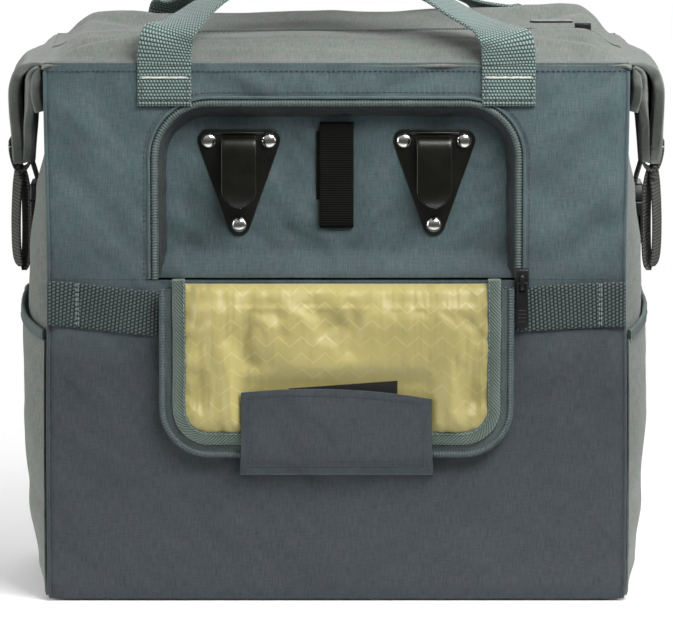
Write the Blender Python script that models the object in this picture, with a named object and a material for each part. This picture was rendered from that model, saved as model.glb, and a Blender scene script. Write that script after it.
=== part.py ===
"""Pannier bag with a zipped hook compartment, a fold-over top and two webbing handles.

Units are metres and +Z is up. The side that hangs against the bicycle faces -Y.
The origin is the centre of the base, on the surface that the bag stands on.
"""
from math import cos, pi, sin

import bmesh
import bpy
from mathutils import Matrix, Vector

# Bag body
WIDTH = 0.350
DEPTH = 0.160
WALL_TOP = 0.327
CROWN = 0.009
SKIN = 0.003
GAP = 0.0003
HALF_W = WIDTH / 2
BACK_Y = -DEPTH / 2
FRONT_Y = DEPTH / 2

# Window of the hook compartment, and the flap that closes it
SEAM_Z = 0.196
WINDOW_HALF_W = 0.112
WINDOW_TOP = 0.306
WINDOW_RADIUS = 0.036
CHAIN_BODY_EDGE = 0.0052
CHAIN_FLAP_EDGE = 0.0124
BINDING_EDGE = 0.0142
FLAP_PIVOT = Vector((0, -0.0845, 0.195))
FLAP_PLY = 0.0012
FLAP_PAD = 0.005

# Boards and layers behind the panels
BOARD_W = 0.336
HOOK_BOARD_Y = -0.0605
HOOK_BOARD_T = 0.0025
RECESS_PANEL_T = 0.0015

# Hooks
HOOK_X = 0.0585
HOOK_T = 0.002
HOOK_RIVET_TOP = (0.018, 0.2785)
HOOK_RIVET_LOW = (0.0, 0.2276)
HOOK_CORNER_R = 0.0068
TONGUE_W = 0.021
RAIL_GAP = 0.0100
RIVET_HEAD_R = 0.0046
RIVET_SHANK_R = 0.0020

# Webbing
HANDLE_W = 0.032
HANDLE_X = 0.1025
WEBBING_T = 0.0022
BAND_W = 0.028
LOOP_W = 0.020
STRAP_W = 0.022

# Keeper tab
KEEPER_HALF_W = 0.0575
KEEPER_PIVOT = Vector((0, -0.0820, 0.079))
KEEPER_TOP = 0.128

# Fold-over ends
EAR_PIVOT_X = 0.1765
EAR_PIVOT_Z = 0.3265
EAR_TIP_X = 0.1925
EAR_TIP_Z = 0.2565
EAR_T = 0.004

# Side pockets
POCKET_TOP = 0.170
POCKET_BULGE = 0.0105
POCKET_HALF = 0.066


def clear_scene():
    for obj in list(bpy.data.objects):
        bpy.data.objects.remove(obj)


def make_material(name, colour, roughness, metallic=0.0):
    mat = bpy.data.materials.new(name)
    mat.use_nodes = True
    shader = mat.node_tree.nodes["Principled BSDF"]
    shader.inputs["Base Color"].default_value = (*colour, 1.0)
    shader.inputs["Roughness"].default_value = roughness
    shader.inputs["Metallic"].default_value = metallic
    mat.diffuse_color = (*colour, 1.0)
    return mat


def make_object(name, bm, material, smooth=False):
    bmesh.ops.remove_doubles(bm, verts=bm.verts, dist=1e-6)
    bmesh.ops.recalc_face_normals(bm, faces=bm.faces)
    mesh = bpy.data.meshes.new(name)
    bm.to_mesh(mesh)
    bm.free()
    mesh.materials.append(material)
    if smooth:
        mesh.shade_smooth()
        mesh.set_sharp_from_angle(angle=0.6)
    obj = bpy.data.objects.new(name, mesh)
    bpy.context.scene.collection.objects.link(obj)
    return obj


def pivot(name, location, pieces, parent=None):
    """An empty on a joint's axis that carries the pieces which turn or slide there."""
    empty = bpy.data.objects.new(name, None)
    bpy.context.scene.collection.objects.link(empty)
    empty.location = location
    if parent:
        empty.parent = parent
        empty.matrix_parent_inverse = Matrix.Translation(-parent.location)
    for piece in pieces:
        piece.parent = empty
        piece.matrix_parent_inverse = Matrix.Translation(-Vector(location))
    return empty


def boolean(obj, tool, operation):
    tool.hide_render = True
    tool.display_type = "WIRE"
    mod = obj.modifiers.new(operation.lower(), "BOOLEAN")
    mod.operation = operation
    mod.solver = "EXACT"
    mod.object = tool
    return obj


def place(axis, a, b, depth):
    """A point of an outline (a, b) in the plane across an axis, at a depth along it."""
    if axis == "X":
        return Vector((depth, a, b))
    if axis == "Y":
        return Vector((a, depth, b))
    return Vector((a, b, depth))


def box(name, low, high, material):
    bm = bmesh.new()
    corners = [
        bm.verts.new((x, y, z))
        for x in (low[0], high[0])
        for y in (low[1], high[1])
        for z in (low[2], high[2])
    ]
    for face in ((0, 1, 3, 2), (4, 6, 7, 5), (0, 4, 5, 1), (2, 3, 7, 6), (0, 2, 6, 4), (1, 5, 7, 3)):
        bm.faces.new([corners[i] for i in face])
    return make_object(name, bm, material)


def prism(name, outline, axis, start, end, material, smooth=False):
    """A filled outline extruded along an axis."""
    bm = bmesh.new()
    low = [bm.verts.new(place(axis, a, b, start)) for a, b in outline]
    high = [bm.verts.new(place(axis, a, b, end)) for a, b in outline]
    bm.faces.new(low)
    bm.faces.new(high)
    for i in range(len(outline)):
        j = (i + 1) % len(outline)
        bm.faces.new((low[i], low[j], high[j], high[i]))
    return make_object(name, bm, material, smooth)


def band(name, outer, inner, axis, start, end, material, closed=False):
    """The strip between two paths of equal length, extruded along an axis."""
    bm = bmesh.new()
    rows = [
        [bm.verts.new(place(axis, a, b, depth)) for a, b in path]
        for path, depth in ((outer, start), (inner, start), (inner, end), (outer, end))
    ]
    count = len(outer)
    for i in range(count if closed else count - 1):
        j = (i + 1) % count
        for k in range(4):
            near, far = rows[k], rows[(k + 1) % 4]
            bm.faces.new((near[i], near[j], far[j], far[i]))
    if not closed:
        bm.faces.new([row[0] for row in rows])
        bm.faces.new([row[-1] for row in rows])
    return make_object(name, bm, material, smooth=True)


def ribbon(name, points, normals, widths, thickness, material):
    """Flat webbing swept along a path; each normal points out of its upper face."""
    bm = bmesh.new()
    rows = []
    last = len(points) - 1
    for i, point in enumerate(points):
        tangent = (points[min(i + 1, last)] - points[max(i - 1, 0)]).normalized()
        side = tangent.cross(normals[i]).normalized() * widths[i] / 2
        up = side.cross(tangent).normalized() * thickness / 2
        corners = (point + side + up, point + side - up, point - side - up, point - side + up)
        rows.append([bm.verts.new(corner) for corner in corners])
    for near, far in zip(rows, rows[1:]):
        for k in range(4):
            m = (k + 1) % 4
            bm.faces.new((near[k], near[m], far[m], far[k]))
    bm.faces.new(rows[0])
    bm.faces.new(rows[-1])
    return make_object(name, bm, material, smooth=True)


def curved_sheet(name, outer, inner, material):
    """A closed solid between two grids of points."""
    bm = bmesh.new()
    skins = [[[bm.verts.new(p) for p in row] for row in grid] for grid in (outer, inner)]
    rows, columns = len(outer), len(outer[0])
    for skin in skins:
        for i in range(rows - 1):
            for j in range(columns - 1):
                bm.faces.new((skin[i][j], skin[i][j + 1], skin[i + 1][j + 1], skin[i + 1][j]))
    rim = [(0, j) for j in range(columns)]
    rim += [(i, columns - 1) for i in range(1, rows)]
    rim += [(rows - 1, j) for j in range(columns - 2, -1, -1)]
    rim += [(i, 0) for i in range(rows - 2, 0, -1)]
    for (i, j), (k, m) in zip(rim, rim[1:] + rim[:1]):
        bm.faces.new((skins[0][i][j], skins[0][k][m], skins[1][k][m], skins[1][i][j]))
    return make_object(name, bm, material, smooth=True)


def turned(name, profile, centre, material, segments=16):
    """A solid of revolution about the Y axis; the profile is (radius, y) from tip to tail."""
    bm = bmesh.new()
    rings = []
    for radius, y in profile:
        if radius == 0:
            rings.append([bm.verts.new((centre[0], y, centre[1]))])
            continue
        angles = [2 * pi * k / segments for k in range(segments)]
        ring = [(centre[0] + radius * cos(t), y, centre[1] + radius * sin(t)) for t in angles]
        rings.append([bm.verts.new(p) for p in ring])
    for near, far in zip(rings, rings[1:]):
        for k in range(segments):
            m = (k + 1) % segments
            if len(near) == 1:
                bm.faces.new((near[0], far[k], far[m]))
            elif len(far) == 1:
                bm.faces.new((near[k], near[m], far[0]))
            else:
                bm.faces.new((near[k], near[m], far[m], far[k]))
    return make_object(name, bm, material, smooth=True)


def arch(inset, bottom, top=WINDOW_TOP, steps=8):
    """The window's outline, moved inwards: up the +X leg, across the top, down the -X leg."""
    half = WINDOW_HALF_W - inset
    radius = WINDOW_RADIUS - inset
    high = top - inset
    points = [(half, bottom)]
    for k in range(steps + 1):
        angle = pi / 2 * k / steps
        points.append((half - radius + radius * cos(angle), high - radius + radius * sin(angle)))
    return points + [(-x, z) for x, z in reversed(points)]


def hanging(outline):
    """An outline of the closed flap, turned half a turn about its fold so that it hangs."""
    return [(x, 2 * FLAP_PIVOT.z - z) for x, z in outline]


def smooth_path(points, steps):
    """Catmull-Rom points through the given ones."""
    ends = [2 * points[0] - points[1]] + points + [2 * points[-1] - points[-2]]
    path = []
    for p0, p1, p2, p3 in zip(ends, ends[1:], ends[2:], ends[3:]):
        for k in range(steps):
            t = k / steps
            path.append(
                0.5 * (2 * p1 + (p2 - p0) * t + (2 * p0 - 5 * p1 + 4 * p2 - p3) * t**2
                       + (3 * p1 - p0 - 3 * p2 + p3) * t**3)
            )
    return path + [points[-1]]


def make_shell(mats):
    fabric, khaki = mats["fabric"], mats["khaki"]
    low = SKIN + GAP
    box("bottom_panel", (-HALF_W, BACK_Y, 0), (HALF_W, FRONT_Y, SKIN), khaki)
    box("front_panel", (-HALF_W, FRONT_Y - SKIN, low), (HALF_W, FRONT_Y, WALL_TOP), khaki)
    inside = FRONT_Y - SKIN - GAP
    for side, sign in (("left", -1), ("right", 1)):
        xs = sorted((sign * (HALF_W - SKIN), sign * HALF_W))
        box(f"gusset_{side}", (xs[0], -inside, low), (xs[1], inside, WALL_TOP), khaki)
    box("back_panel_lower", (-HALF_W, BACK_Y, low), (HALF_W, BACK_Y + SKIN, SEAM_Z), fabric)
    window = arch(0, SEAM_Z + GAP)
    frame = [(HALF_W, SEAM_Z + GAP), (HALF_W, WALL_TOP), (-HALF_W, WALL_TOP), (-HALF_W, SEAM_Z + GAP)]
    prism("back_panel_upper", frame + window[::-1], "Y", BACK_Y, BACK_Y + SKIN, fabric)


def make_boards(mats):
    board = mats["board"]
    low = SKIN + GAP
    half = BOARD_W / 2
    back = BACK_Y + SKIN + GAP
    box("base_board", (-half, -0.074, low), (half, 0.074, low + 0.0025), board)
    box("back_board", (-half, back, 0.0062), (half, back + 0.002, 0.190), board)
    y = HOOK_BOARD_Y
    hook_board = box("hook_board", (-0.130, y, 0.1925), (0.130, y + HOOK_BOARD_T, 0.318), board)
    y -= GAP + RECESS_PANEL_T
    panel = box("recess_panel", (-0.110, y, 0.1965), (0.110, y + RECESS_PANEL_T, 0.303), mats["fabric"])
    holes = rivet_holes("rivet_holes", -0.075, -0.050, mats["steel"])
    boolean(hook_board, holes, "DIFFERENCE")
    boolean(panel, holes, "DIFFERENCE")


def rivet_places():
    x, high = HOOK_RIVET_TOP
    low = HOOK_RIVET_LOW[1]
    places = {}
    for side, sign in (("left", -1), ("right", 1)):
        places[f"{side}_outer"] = (sign * (HOOK_X + x), high)
        places[f"{side}_inner"] = (sign * (HOOK_X - x), high)
        places[f"{side}_low"] = (sign * HOOK_X, low)
    return places


def rivet_holes(name, start, end, material):
    """One cutter with a round pin through each rivet's place."""
    bm = bmesh.new()
    segments = 12
    radius = RIVET_SHANK_R + 0.0004
    for x, z in rivet_places().values():
        spin = Matrix.Rotation(pi / 2, 4, "X")
        spot = Matrix.Translation((x, (start + end) / 2, z)) @ spin
        bmesh.ops.create_cone(
            bm, cap_ends=True, segments=segments, radius1=radius, radius2=radius,
            depth=end - start, matrix=spot,
        )
    return make_object(name, bm, material)


def make_recess(mats):
    outer = arch(0.0090, 0.1970)
    inner = arch(0.0102, 0.1982)
    front = BACK_Y + SKIN - GAP
    back = HOOK_BOARD_Y - 2 * GAP - RECESS_PANEL_T
    band("recess_gusset", outer, inner, "Y", front + GAP, back, mats["lining_dark"], closed=True)
    chain = arch(GAP, SEAM_Z + 0.001), arch(CHAIN_BODY_EDGE, SEAM_Z + 0.001)
    band("body_zip_chain", *chain, "Y", BACK_Y, BACK_Y + 0.002, mats["zip"])


def make_lining(mats):
    """The loose inner bag: an open-topped box that steps back under the hook board."""
    def profile(inset, top):
        back_high, back_low, front = -0.0558 + inset, -0.0744 + inset, 0.0766 - inset
        low, step = 0.0062 + inset, 0.1902 - inset
        front_wall = [(front, low), (front, top)]
        back_wall = [(back_high, top), (back_high, step), (back_low, step), (back_low, low)]
        return front_wall + back_wall

    wall = 0.001
    reach = HALF_W - SKIN - 0.0005
    inside = reach - wall
    bag = prism("interior_lining", profile(0, 0.322), "X", -reach, reach, mats["lining"])
    core = prism("lining_core", profile(wall, 0.330), "X", -inside, inside, mats["lining"])
    boolean(bag, core, "DIFFERENCE")


def hook_outline(x0, steps=7):
    """The hull of three equal circles about the rivets, as arcs joined by straight sides."""
    x, high = HOOK_RIVET_TOP
    low = HOOK_RIVET_LOW[1]
    slope = Vector((x, high - low)).normalized()
    lean = Vector((slope.y, -slope.x))
    tilt = lean.angle(Vector((1, 0)))
    arcs = (
        ((x0 + x, high), -tilt, pi / 2),
        ((x0 - x, high), pi / 2, pi + tilt),
        ((x0, low), pi + tilt, 2 * pi - tilt),
    )
    points = []
    for (cx, cz), start, end in arcs:
        for k in range(steps + 1):
            angle = start + (end - start) * k / steps
            points.append((cx + HOOK_CORNER_R * cos(angle), cz + HOOK_CORNER_R * sin(angle)))
    return points


def tongue(name, x0, plate_front, material):
    """The bent strip that hooks over the rack's rail: out of the plate, over and down."""
    out = plate_front - RAIL_GAP - HOOK_T / 2
    mid = (plate_front + out) / 2
    route = (
        (plate_front + 0.0010, 0.2690, 1.0),
        (plate_front - 0.0002, 0.2745, 1.0),
        (plate_front - 0.0022, 0.2788, 1.0),
        (mid, 0.2809, 1.0),
        (out + 0.0015, 0.2788, 1.0),
        (out, 0.2740, 1.0),
        (out, 0.2520, 1.0),
        (out, 0.2450, 0.95),
        (out, 0.2415, 0.80),
        (out, 0.2393, 0.50),
    )
    points = [Vector((x0, y, z)) for y, z, _ in route]
    last = len(points) - 1
    normals = []
    for i in range(len(points)):
        step = points[min(i + 1, last)] - points[max(i - 1, 0)]
        normals.append(step.cross(Vector((1, 0, 0))))
    widths = [TONGUE_W * share for _, _, share in route]
    return ribbon(name, points, normals, widths, HOOK_T, material)


def make_hooks(mats):
    back = HOOK_BOARD_Y - 2 * GAP - RECESS_PANEL_T
    front = back - HOOK_T
    holes = rivet_holes("hook_holes", -0.068, -0.060, mats["steel"])
    for side, sign in (("left", -1), ("right", 1)):
        x0 = sign * HOOK_X
        plate = prism(f"hook_{side}", hook_outline(x0), "Y", front, back, mats["hook"], smooth=True)
        boolean(plate, tongue(f"hook_tongue_{side}", x0, front, mats["hook"]), "UNION")
        boolean(plate, holes, "DIFFERENCE")
    seat = front - GAP
    tail = HOOK_BOARD_Y + HOOK_BOARD_T + GAP
    head = [
        (RIVET_HEAD_R * sin(pi / 2 * k / 4), seat - 0.0008 - 0.0020 * cos(pi / 2 * k / 4))
        for k in range(5)
    ]
    shank = [(RIVET_SHANK_R, seat), (RIVET_SHANK_R, tail), (0.0035, tail), (0.0030, tail + 0.0014)]
    profile = head + [(RIVET_HEAD_R, seat)] + shank + [(0, tail + 0.0014)]
    for spot, centre in rivet_places().items():
        turned(f"hook_rivet_{spot}", profile, centre, mats["steel"])


def make_centre_loop(mats):
    """A narrow webbing loop that hangs between the hooks, folded double."""
    half = LOOP_W / 2
    outer = [(-0.0628, 0.289), (-0.0676, 0.287), (-0.0680, 0.228), (-0.0654, 0.226), (-0.0628, 0.228)]
    inner = [(-0.0644, 0.2874), (-0.0660, 0.2862), (-0.0664, 0.2288), (-0.0654, 0.2276), (-0.0644, 0.2288)]
    loop = band("centre_loop", outer, inner, "X", -half, half, mats["black_webbing"], closed=True)
    pivot("centre_loop_pivot", (0, -0.0632, 0.289), [loop])


def make_flap(mats):
    fold = 2 * FLAP_PIVOT.z - 0.193
    chain_start = FLAP_PIVOT.z + 0.008
    front = FLAP_PIVOT.y - 0.0005
    ply = front - FLAP_PLY
    pad = ply - GAP - FLAP_PAD
    shape = hanging(arch(BINDING_EDGE + GAP, fold))
    pieces = [
        prism("flap_outer", shape, "Y", ply, front, mats["fabric"]),
        prism("flap_lining", shape, "Y", pad, ply - GAP, mats["lining"]),
    ]
    edge = arch(CHAIN_FLAP_EDGE + GAP, fold), arch(BINDING_EDGE, fold)
    rim = [hanging(path) for path in edge]
    pieces.append(band("flap_binding", *rim, "Y", pad, front, mats["binding"]))
    edge = arch(CHAIN_BODY_EDGE + 0.0004, chain_start), arch(CHAIN_FLAP_EDGE, chain_start)
    rim = [hanging(path) for path in edge]
    chain_y = 2 * FLAP_PIVOT.y - BACK_Y
    pieces.append(band("flap_zip_chain", *rim, "Y", chain_y - 0.002, chain_y, mats["zip"]))
    strip = pad - GAP
    pieces.append(
        box("flap_loop_strip", (-0.0285, strip - 0.0011, 0.1105), (0.0365, strip, 0.1345), mats["velcro"])
    )
    pivot("flap_pivot", FLAP_PIVOT, pieces)
    return strip - 0.0011


def make_keeper(mats, strip_front):
    """The tab sewn along its lower edge, which stands in front of the hanging flap's end."""
    y0 = strip_front - GAP
    strip = box("keeper_hook_strip", (-0.0325, y0 - 0.0011, 0.1020), (0.0325, y0, 0.1250), mats["velcro"])
    face = y0 - 0.0011 - GAP
    ply = 0.0014
    top = KEEPER_TOP
    inner = [(-0.0808, 0.0790), (-0.0860, 0.0802), (face, 0.0880), (face, top)]
    outer = [(-0.0810, 0.0776), (-0.0867, 0.0788), (face - ply, 0.0871), (face - ply, top)]
    tab = band("keeper_tab", outer, inner, "X", -KEEPER_HALF_W, KEEPER_HALF_W, mats["fabric"])
    pivot("keeper_pivot", KEEPER_PIVOT, [tab, strip])


def make_luggage_band(mats):
    y = BACK_Y - GAP
    half = HALF_W - 0.001
    box("luggage_band", (-half, y - WEBBING_T, SEAM_Z - BAND_W), (half, y, SEAM_Z - GAP), mats["webbing"])


def pull_outline(length, width, steps=8):
    """A tab with a round free end, hanging down from its pin."""
    radius = width / 2
    points = [(radius * 0.7, 0.0), (-radius * 0.7, 0.0)]
    for k in range(steps + 1):
        angle = pi + pi * k / steps
        points.append((radius * cos(angle), -(length - radius) + radius * sin(angle)))
    return points


def make_window_slider(mats):
    """The slider on the straight leg of the compartment's zip, and its pull tab."""
    x0, z0 = 0.1110, 0.1965
    half = 0.0042
    back = BACK_Y - GAP
    front = back - WEBBING_T - GAP
    face = front - 0.0022
    body = box("zip_slider", (x0 - half, face, z0 - 0.006), (x0 + half, front, z0 + 0.007), mats["black"])
    foot = box("slider_foot", (x0 - half, front - 0.001, z0), (x0 + half, back, z0 + 0.007), mats["black"])
    boolean(body, foot, "UNION")
    root, arm = face + 0.0005, face - 0.0043
    outer = [(root, z0 + 0.0040), (arm, z0 + 0.0030), (arm, z0 - 0.0050), (root, z0 - 0.0055)]
    inner = [(root, z0 + 0.0030), (arm + 0.001, z0 + 0.0020), (arm + 0.001, z0 - 0.0040), (root, z0 - 0.0045)]
    bridge = band("slider_bridge", outer, inner, "X", x0 - 0.001, x0 + 0.001, mats["black"])
    boolean(body, bridge, "UNION")
    pin = (x0, face - 0.0016, z0 - 0.002)
    tab = [(x0 + a, pin[2] + 0.0012 + b) for a, b in pull_outline(0.0280, 0.0084)]
    pull = prism("zip_pull", tab, "Y", pin[1] - 0.0007, pin[1] + 0.0007, mats["black"], smooth=True)
    low = (x0 - 0.0014, pin[1] - 0.002, pin[2] - 0.0055)
    high = (x0 + 0.0014, pin[1] + 0.002, pin[2] - 0.0013)
    boolean(pull, box("pull_slot", low, high, mats["black"]), "DIFFERENCE")
    carrier = pivot("zip_slider_pivot", (x0, back, z0), [body])
    pivot("zip_pull_pivot", pin, [pull], carrier)


def lid_outline(sign):
    """Cross-section of one half of the top, slightly crowned."""
    near, mid, far = sign * DEPTH / 2, sign * 0.040, sign * 0.0035
    low = WALL_TOP + GAP
    shoulder = low + 0.75 * CROWN
    under = [(near, low), (mid, shoulder), (far, low + CROWN)]
    upper = [(far, low + CROWN + 0.0035), (mid, shoulder + 0.0040), (near, low + 0.0025)]
    return under + upper


def chain_outline(sign):
    """Cross-section of one half of the top zip: a tape under the lid and its coil."""
    edge = sign * 0.00025
    top = WALL_TOP + CROWN - GAP
    return [
        (sign * 0.0090, top), (sign * 0.0090, top - 0.0012), (edge, top - 0.0012),
        (edge, top + 0.0016), (sign * 0.0026, top + 0.0016), (sign * 0.0026, top),
    ]


def handle_path(sign):
    """The free part of a handle: up from the wall, over, and down onto the top."""
    half = [
        Vector((0.1025, -0.0818, 0.3315)), Vector((0.1025, -0.0822, 0.3360)),
        Vector((0.1020, -0.0800, 0.3405)), Vector((0.0985, -0.0725, 0.3430)),
        Vector((0.0880, -0.0590, 0.3480)), Vector((0.0700, -0.0430, 0.3540)),
        Vector((0.0480, -0.0290, 0.3595)), Vector((0.0240, -0.0205, 0.3625)),
    ]
    lean = [Vector((0, -1, 0)), Vector((0, -1, 0.15)), Vector((0, -0.7, 0.7)), Vector((0, -0.15, 1))]
    lean += [Vector((0, -0.05, 1))] * 4
    middle = [Vector((0, -0.0180, 0.3635))]
    points = half + middle + [Vector((-p.x, p.y, p.z)) for p in reversed(half)]
    normals = lean + [Vector((0, 0, 1))] + lean[::-1]
    points = [Vector((p.x, -sign * p.y, p.z)) for p in points]
    normals = [Vector((n.x, -sign * n.y, n.z)) for n in normals]
    return smooth_path(points, 3), smooth_path(normals, 3)


def make_top(mats):
    """Both halves of the top, their zip, the handles that lie on them and the sewn ends."""
    reach = HALF_W
    low_z, high_z = 0.301, 0.3262
    for name, sign in (("back", -1), ("front", 1)):
        lid = prism(f"top_{name}_panel", lid_outline(sign), "X", -reach, reach, mats["khaki"])
        chain = prism(f"top_zip_{name}", chain_outline(sign), "X", -0.165, 0.165, mats["zip"])
        hinge = pivot(f"top_{name}_pivot", (0, sign * DEPTH / 2, WALL_TOP + GAP), [lid, chain])
        points, normals = handle_path(sign)
        widths = [HANDLE_W] * len(points)
        strap = ribbon(f"handle_{name}", points, normals, widths, WEBBING_T, mats["webbing"])
        pivot(f"handle_{name}_pivot", (0, points[0].y, points[0].z), [strap], hinge)
        ys = sorted((sign * (DEPTH / 2 + GAP), sign * (DEPTH / 2 + GAP + WEBBING_T)))
        for side, x0 in (("left", -HANDLE_X), ("right", HANDLE_X)):
            half = HANDLE_W / 2
            name_end = f"handle_end_{name}_{side}"
            box(name_end, (x0 - half, ys[0], low_z), (x0 + half, ys[1], high_z), mats["webbing"])
        if sign < 0:
            make_top_slider(mats, hinge)


def make_top_slider(mats, hinge):
    x0, y0, z0 = 0.150, -0.0018, WALL_TOP + CROWN + 0.0016
    low, high = (x0 - 0.005, y0 - 0.0015, z0), (x0 + 0.005, y0 + 0.0015, z0 + 0.0050)
    body = box("top_zip_slider", low, high, mats["black"])
    pin = (x0 - 0.0055, y0 - 0.004, z0 + 0.0062)
    tab = [(pin[0] - 0.001 + b, pin[1] + a) for a, b in pull_outline(0.026, 0.0080)]
    pull = prism("top_zip_pull", tab, "Z", pin[2] - 0.0006, pin[2] + 0.0006, mats["black"], smooth=True)
    carrier = pivot("top_zip_slider_pivot", (x0, y0, z0), [body], hinge)
    pivot("top_zip_pull_pivot", pin, [pull], carrier)


def make_ear(side, sign, mats):
    """The folded end of the top: a triangle of two plies that hangs down the gusset."""
    def slab(share, half, thickness):
        x = EAR_PIVOT_X + (EAR_TIP_X - EAR_PIVOT_X) * share
        z = EAR_PIVOT_Z + (EAR_TIP_Z - EAR_PIVOT_Z) * share
        return [(x - thickness / 2, z), (x + thickness / 2, z)], half

    sections = [slab(0.0, 0.077, EAR_T * 0.5), slab(0.12, 0.069, EAR_T), slab(1.0, 0.012, EAR_T)]
    outer = [[Vector((sign * xs[1][0], y, xs[1][1])) for y in (-h, h)] for xs, h in sections]
    inner = [[Vector((sign * xs[0][0], y, xs[0][1])) for y in (-h, h)] for xs, h in sections]
    return curved_sheet(f"ear_{side}", outer, inner, mats["khaki"])


def make_ear_webbing(side, sign, mats):
    """One length of webbing: plies over the ear's tip, a hanging loop and a buckle strap."""
    half = LOOP_W / 2
    x0, z0 = sign * (EAR_TIP_X + 0.0003), EAR_TIP_Z
    ply, grip = 0.0018, 0.0028
    web = mats["black_webbing"]

    def xz(points):
        return [(x0 + sign * dx, z0 + dz) for dx, dz in points]

    def clamp(spread, foot):
        lean = (EAR_TIP_X - EAR_PIVOT_X) / (EAR_PIVOT_Z - EAR_TIP_Z) * top_z
        near, far = -grip - spread, grip + spread
        return xz([(near - lean, top_z), (near, foot), (far, foot), (far - lean, top_z)])

    def eye(high, shoulder, half_high, hip, half_low, low):
        right = [(half_high, shoulder), (half_low, hip)]
        left = [(-dx, dz) for dx, dz in reversed(right)]
        return xz([(0, high)] + right + [(0, low)] + left)

    top_z = 0.014
    body = band(f"ear_webbing_{side}", clamp(ply, -0.003), clamp(0, -0.0008), "Y", -half, half, web)
    loop_out = eye(-0.0020, -0.0100, 0.0046, -0.0500, 0.0052, -0.0560)
    loop_in = eye(-0.0055, -0.0105, 0.0028, -0.0495, 0.0034, -0.0540)
    loop = band(f"ear_loop_{side}", loop_out, loop_in, "Y", -half, half, web, closed=True)
    boolean(body, loop, "UNION")
    top, low = (x0 - sign * (grip + ply * 0.5), z0 - 0.001), (sign * 0.1825, 0.2455)
    strip = [top, (top[0] - sign * ply, top[1] + 0.002)]
    strip += [(low[0] - sign * ply / 2, low[1]), (low[0] + sign * ply / 2, low[1])]
    boolean(body, prism(f"ear_strand_{side}", strip, "Y", -half, half, web), "UNION")
    return body


def make_buckle(side, sign, mats):
    """A side-release buckle seen edge-on: the plug hangs on the ear, the socket on the gusset."""
    near, far = sign * 0.1785, sign * 0.1870
    half = 0.0155
    xs = sorted((near, far))
    wall = 0.0016
    socket = box(f"buckle_socket_{side}", (xs[0], -half, 0.2080), (xs[1], half, 0.2345), mats["black"])
    hollow = box(
        f"socket_hollow_{side}",
        (xs[0] + wall, -half + wall, 0.2130), (xs[1] - wall, half - wall, 0.2400), mats["black"],
    )
    boolean(socket, hollow, "DIFFERENCE")
    low, high = (xs[0] + wall, -0.02, 0.2160), (xs[1] - wall, 0.02, 0.2260)
    windows = box(f"socket_windows_{side}", low, high, mats["black"])
    boolean(socket, windows, "DIFFERENCE")
    slim = wall + 0.0005
    plug = box(f"buckle_plug_{side}", (xs[0], -half, 0.2350), (xs[1], half, 0.2450), mats["black"])
    prongs = box(
        f"plug_prongs_{side}",
        (xs[0] + slim, -half + slim, 0.2145), (xs[1] - slim, half - slim, 0.2360), mats["black"],
    )
    gap = box(f"prong_gap_{side}", (xs[0], -0.0085, 0.2100), (xs[1], 0.0085, 0.2320), mats["black"])
    boolean(prongs, gap, "DIFFERENCE")
    boolean(plug, prongs, "UNION")
    xs = sorted((sign * (HALF_W + GAP), sign * (HALF_W + GAP + WEBBING_T)))
    box(f"gusset_strap_{side}", (xs[0], -STRAP_W / 2, 0.1800), (xs[1], STRAP_W / 2, 0.2200), mats["webbing"])
    return plug


def make_ends(mats):
    for side, sign in (("left", -1), ("right", 1)):
        ear = make_ear(side, sign, mats)
        webbing = make_ear_webbing(side, sign, mats)
        plug = make_buckle(side, sign, mats)
        pivot(f"ear_{side}_pivot", (sign * EAR_PIVOT_X, 0, EAR_PIVOT_Z), [ear, webbing, plug])


def pocket_x(y, z, offset):
    """Distance of the pocket's face from the bag's middle plane."""
    rise = min(1.0, max(0.0, (z - 0.006) / 0.080))
    swell = POCKET_BULGE * sin(pi / 2 * rise) * cos(pi / 2 * y / POCKET_HALF)
    return HALF_W + GAP + swell + offset


def make_pockets(mats):
    columns = [POCKET_HALF * (k / 6 - 1) for k in range(13)]
    heights = [0.006, 0.016, 0.028, 0.045, 0.065, 0.090, POCKET_TOP]
    hem = [POCKET_TOP + GAP, POCKET_TOP + 0.007]
    layers = (("side_pocket", heights, 0.0016, "khaki"), ("pocket_hem", hem, WEBBING_T, "webbing"))
    for side, sign in (("left", -1), ("right", 1)):
        for name, levels, ply, mat in layers:
            outer = [[Vector((sign * pocket_x(y, z, ply), y, z)) for y in columns] for z in levels]
            inner = [[Vector((sign * pocket_x(y, z, 0), y, z)) for y in columns] for z in levels]
            curved_sheet(f"{name}_{side}", outer, inner, mats[mat])


def make_materials():
    return {
        "fabric": make_material("blue_grey_fabric", (0.082, 0.105, 0.125), 0.75),
        "khaki": make_material("khaki_grey_fabric", (0.150, 0.165, 0.140), 0.80),
        "webbing": make_material("teal_grey_webbing", (0.085, 0.115, 0.115), 0.75),
        "binding": make_material("edge_binding", (0.070, 0.095, 0.100), 0.75),
        "zip": make_material("zip_tape", (0.055, 0.080, 0.085), 0.65),
        "lining": make_material("quilted_lining", (0.520, 0.470, 0.220), 0.45),
        "lining_dark": make_material("recess_gusset_fabric", (0.030, 0.036, 0.042), 0.80),
        "board": make_material("stiffener_board", (0.030, 0.030, 0.032), 0.60),
        "black_webbing": make_material("black_webbing", (0.012, 0.012, 0.012), 0.70),
        "velcro": make_material("hook_and_loop", (0.008, 0.008, 0.008), 0.95),
        "black": make_material("black_plastic", (0.012, 0.012, 0.013), 0.40),
        "hook": make_material("coated_hook_steel", (0.014, 0.014, 0.014), 0.35, 0.3),
        "steel": make_material("nickel_rivet", (0.620, 0.610, 0.590), 0.20, 1.0),
    }


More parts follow.
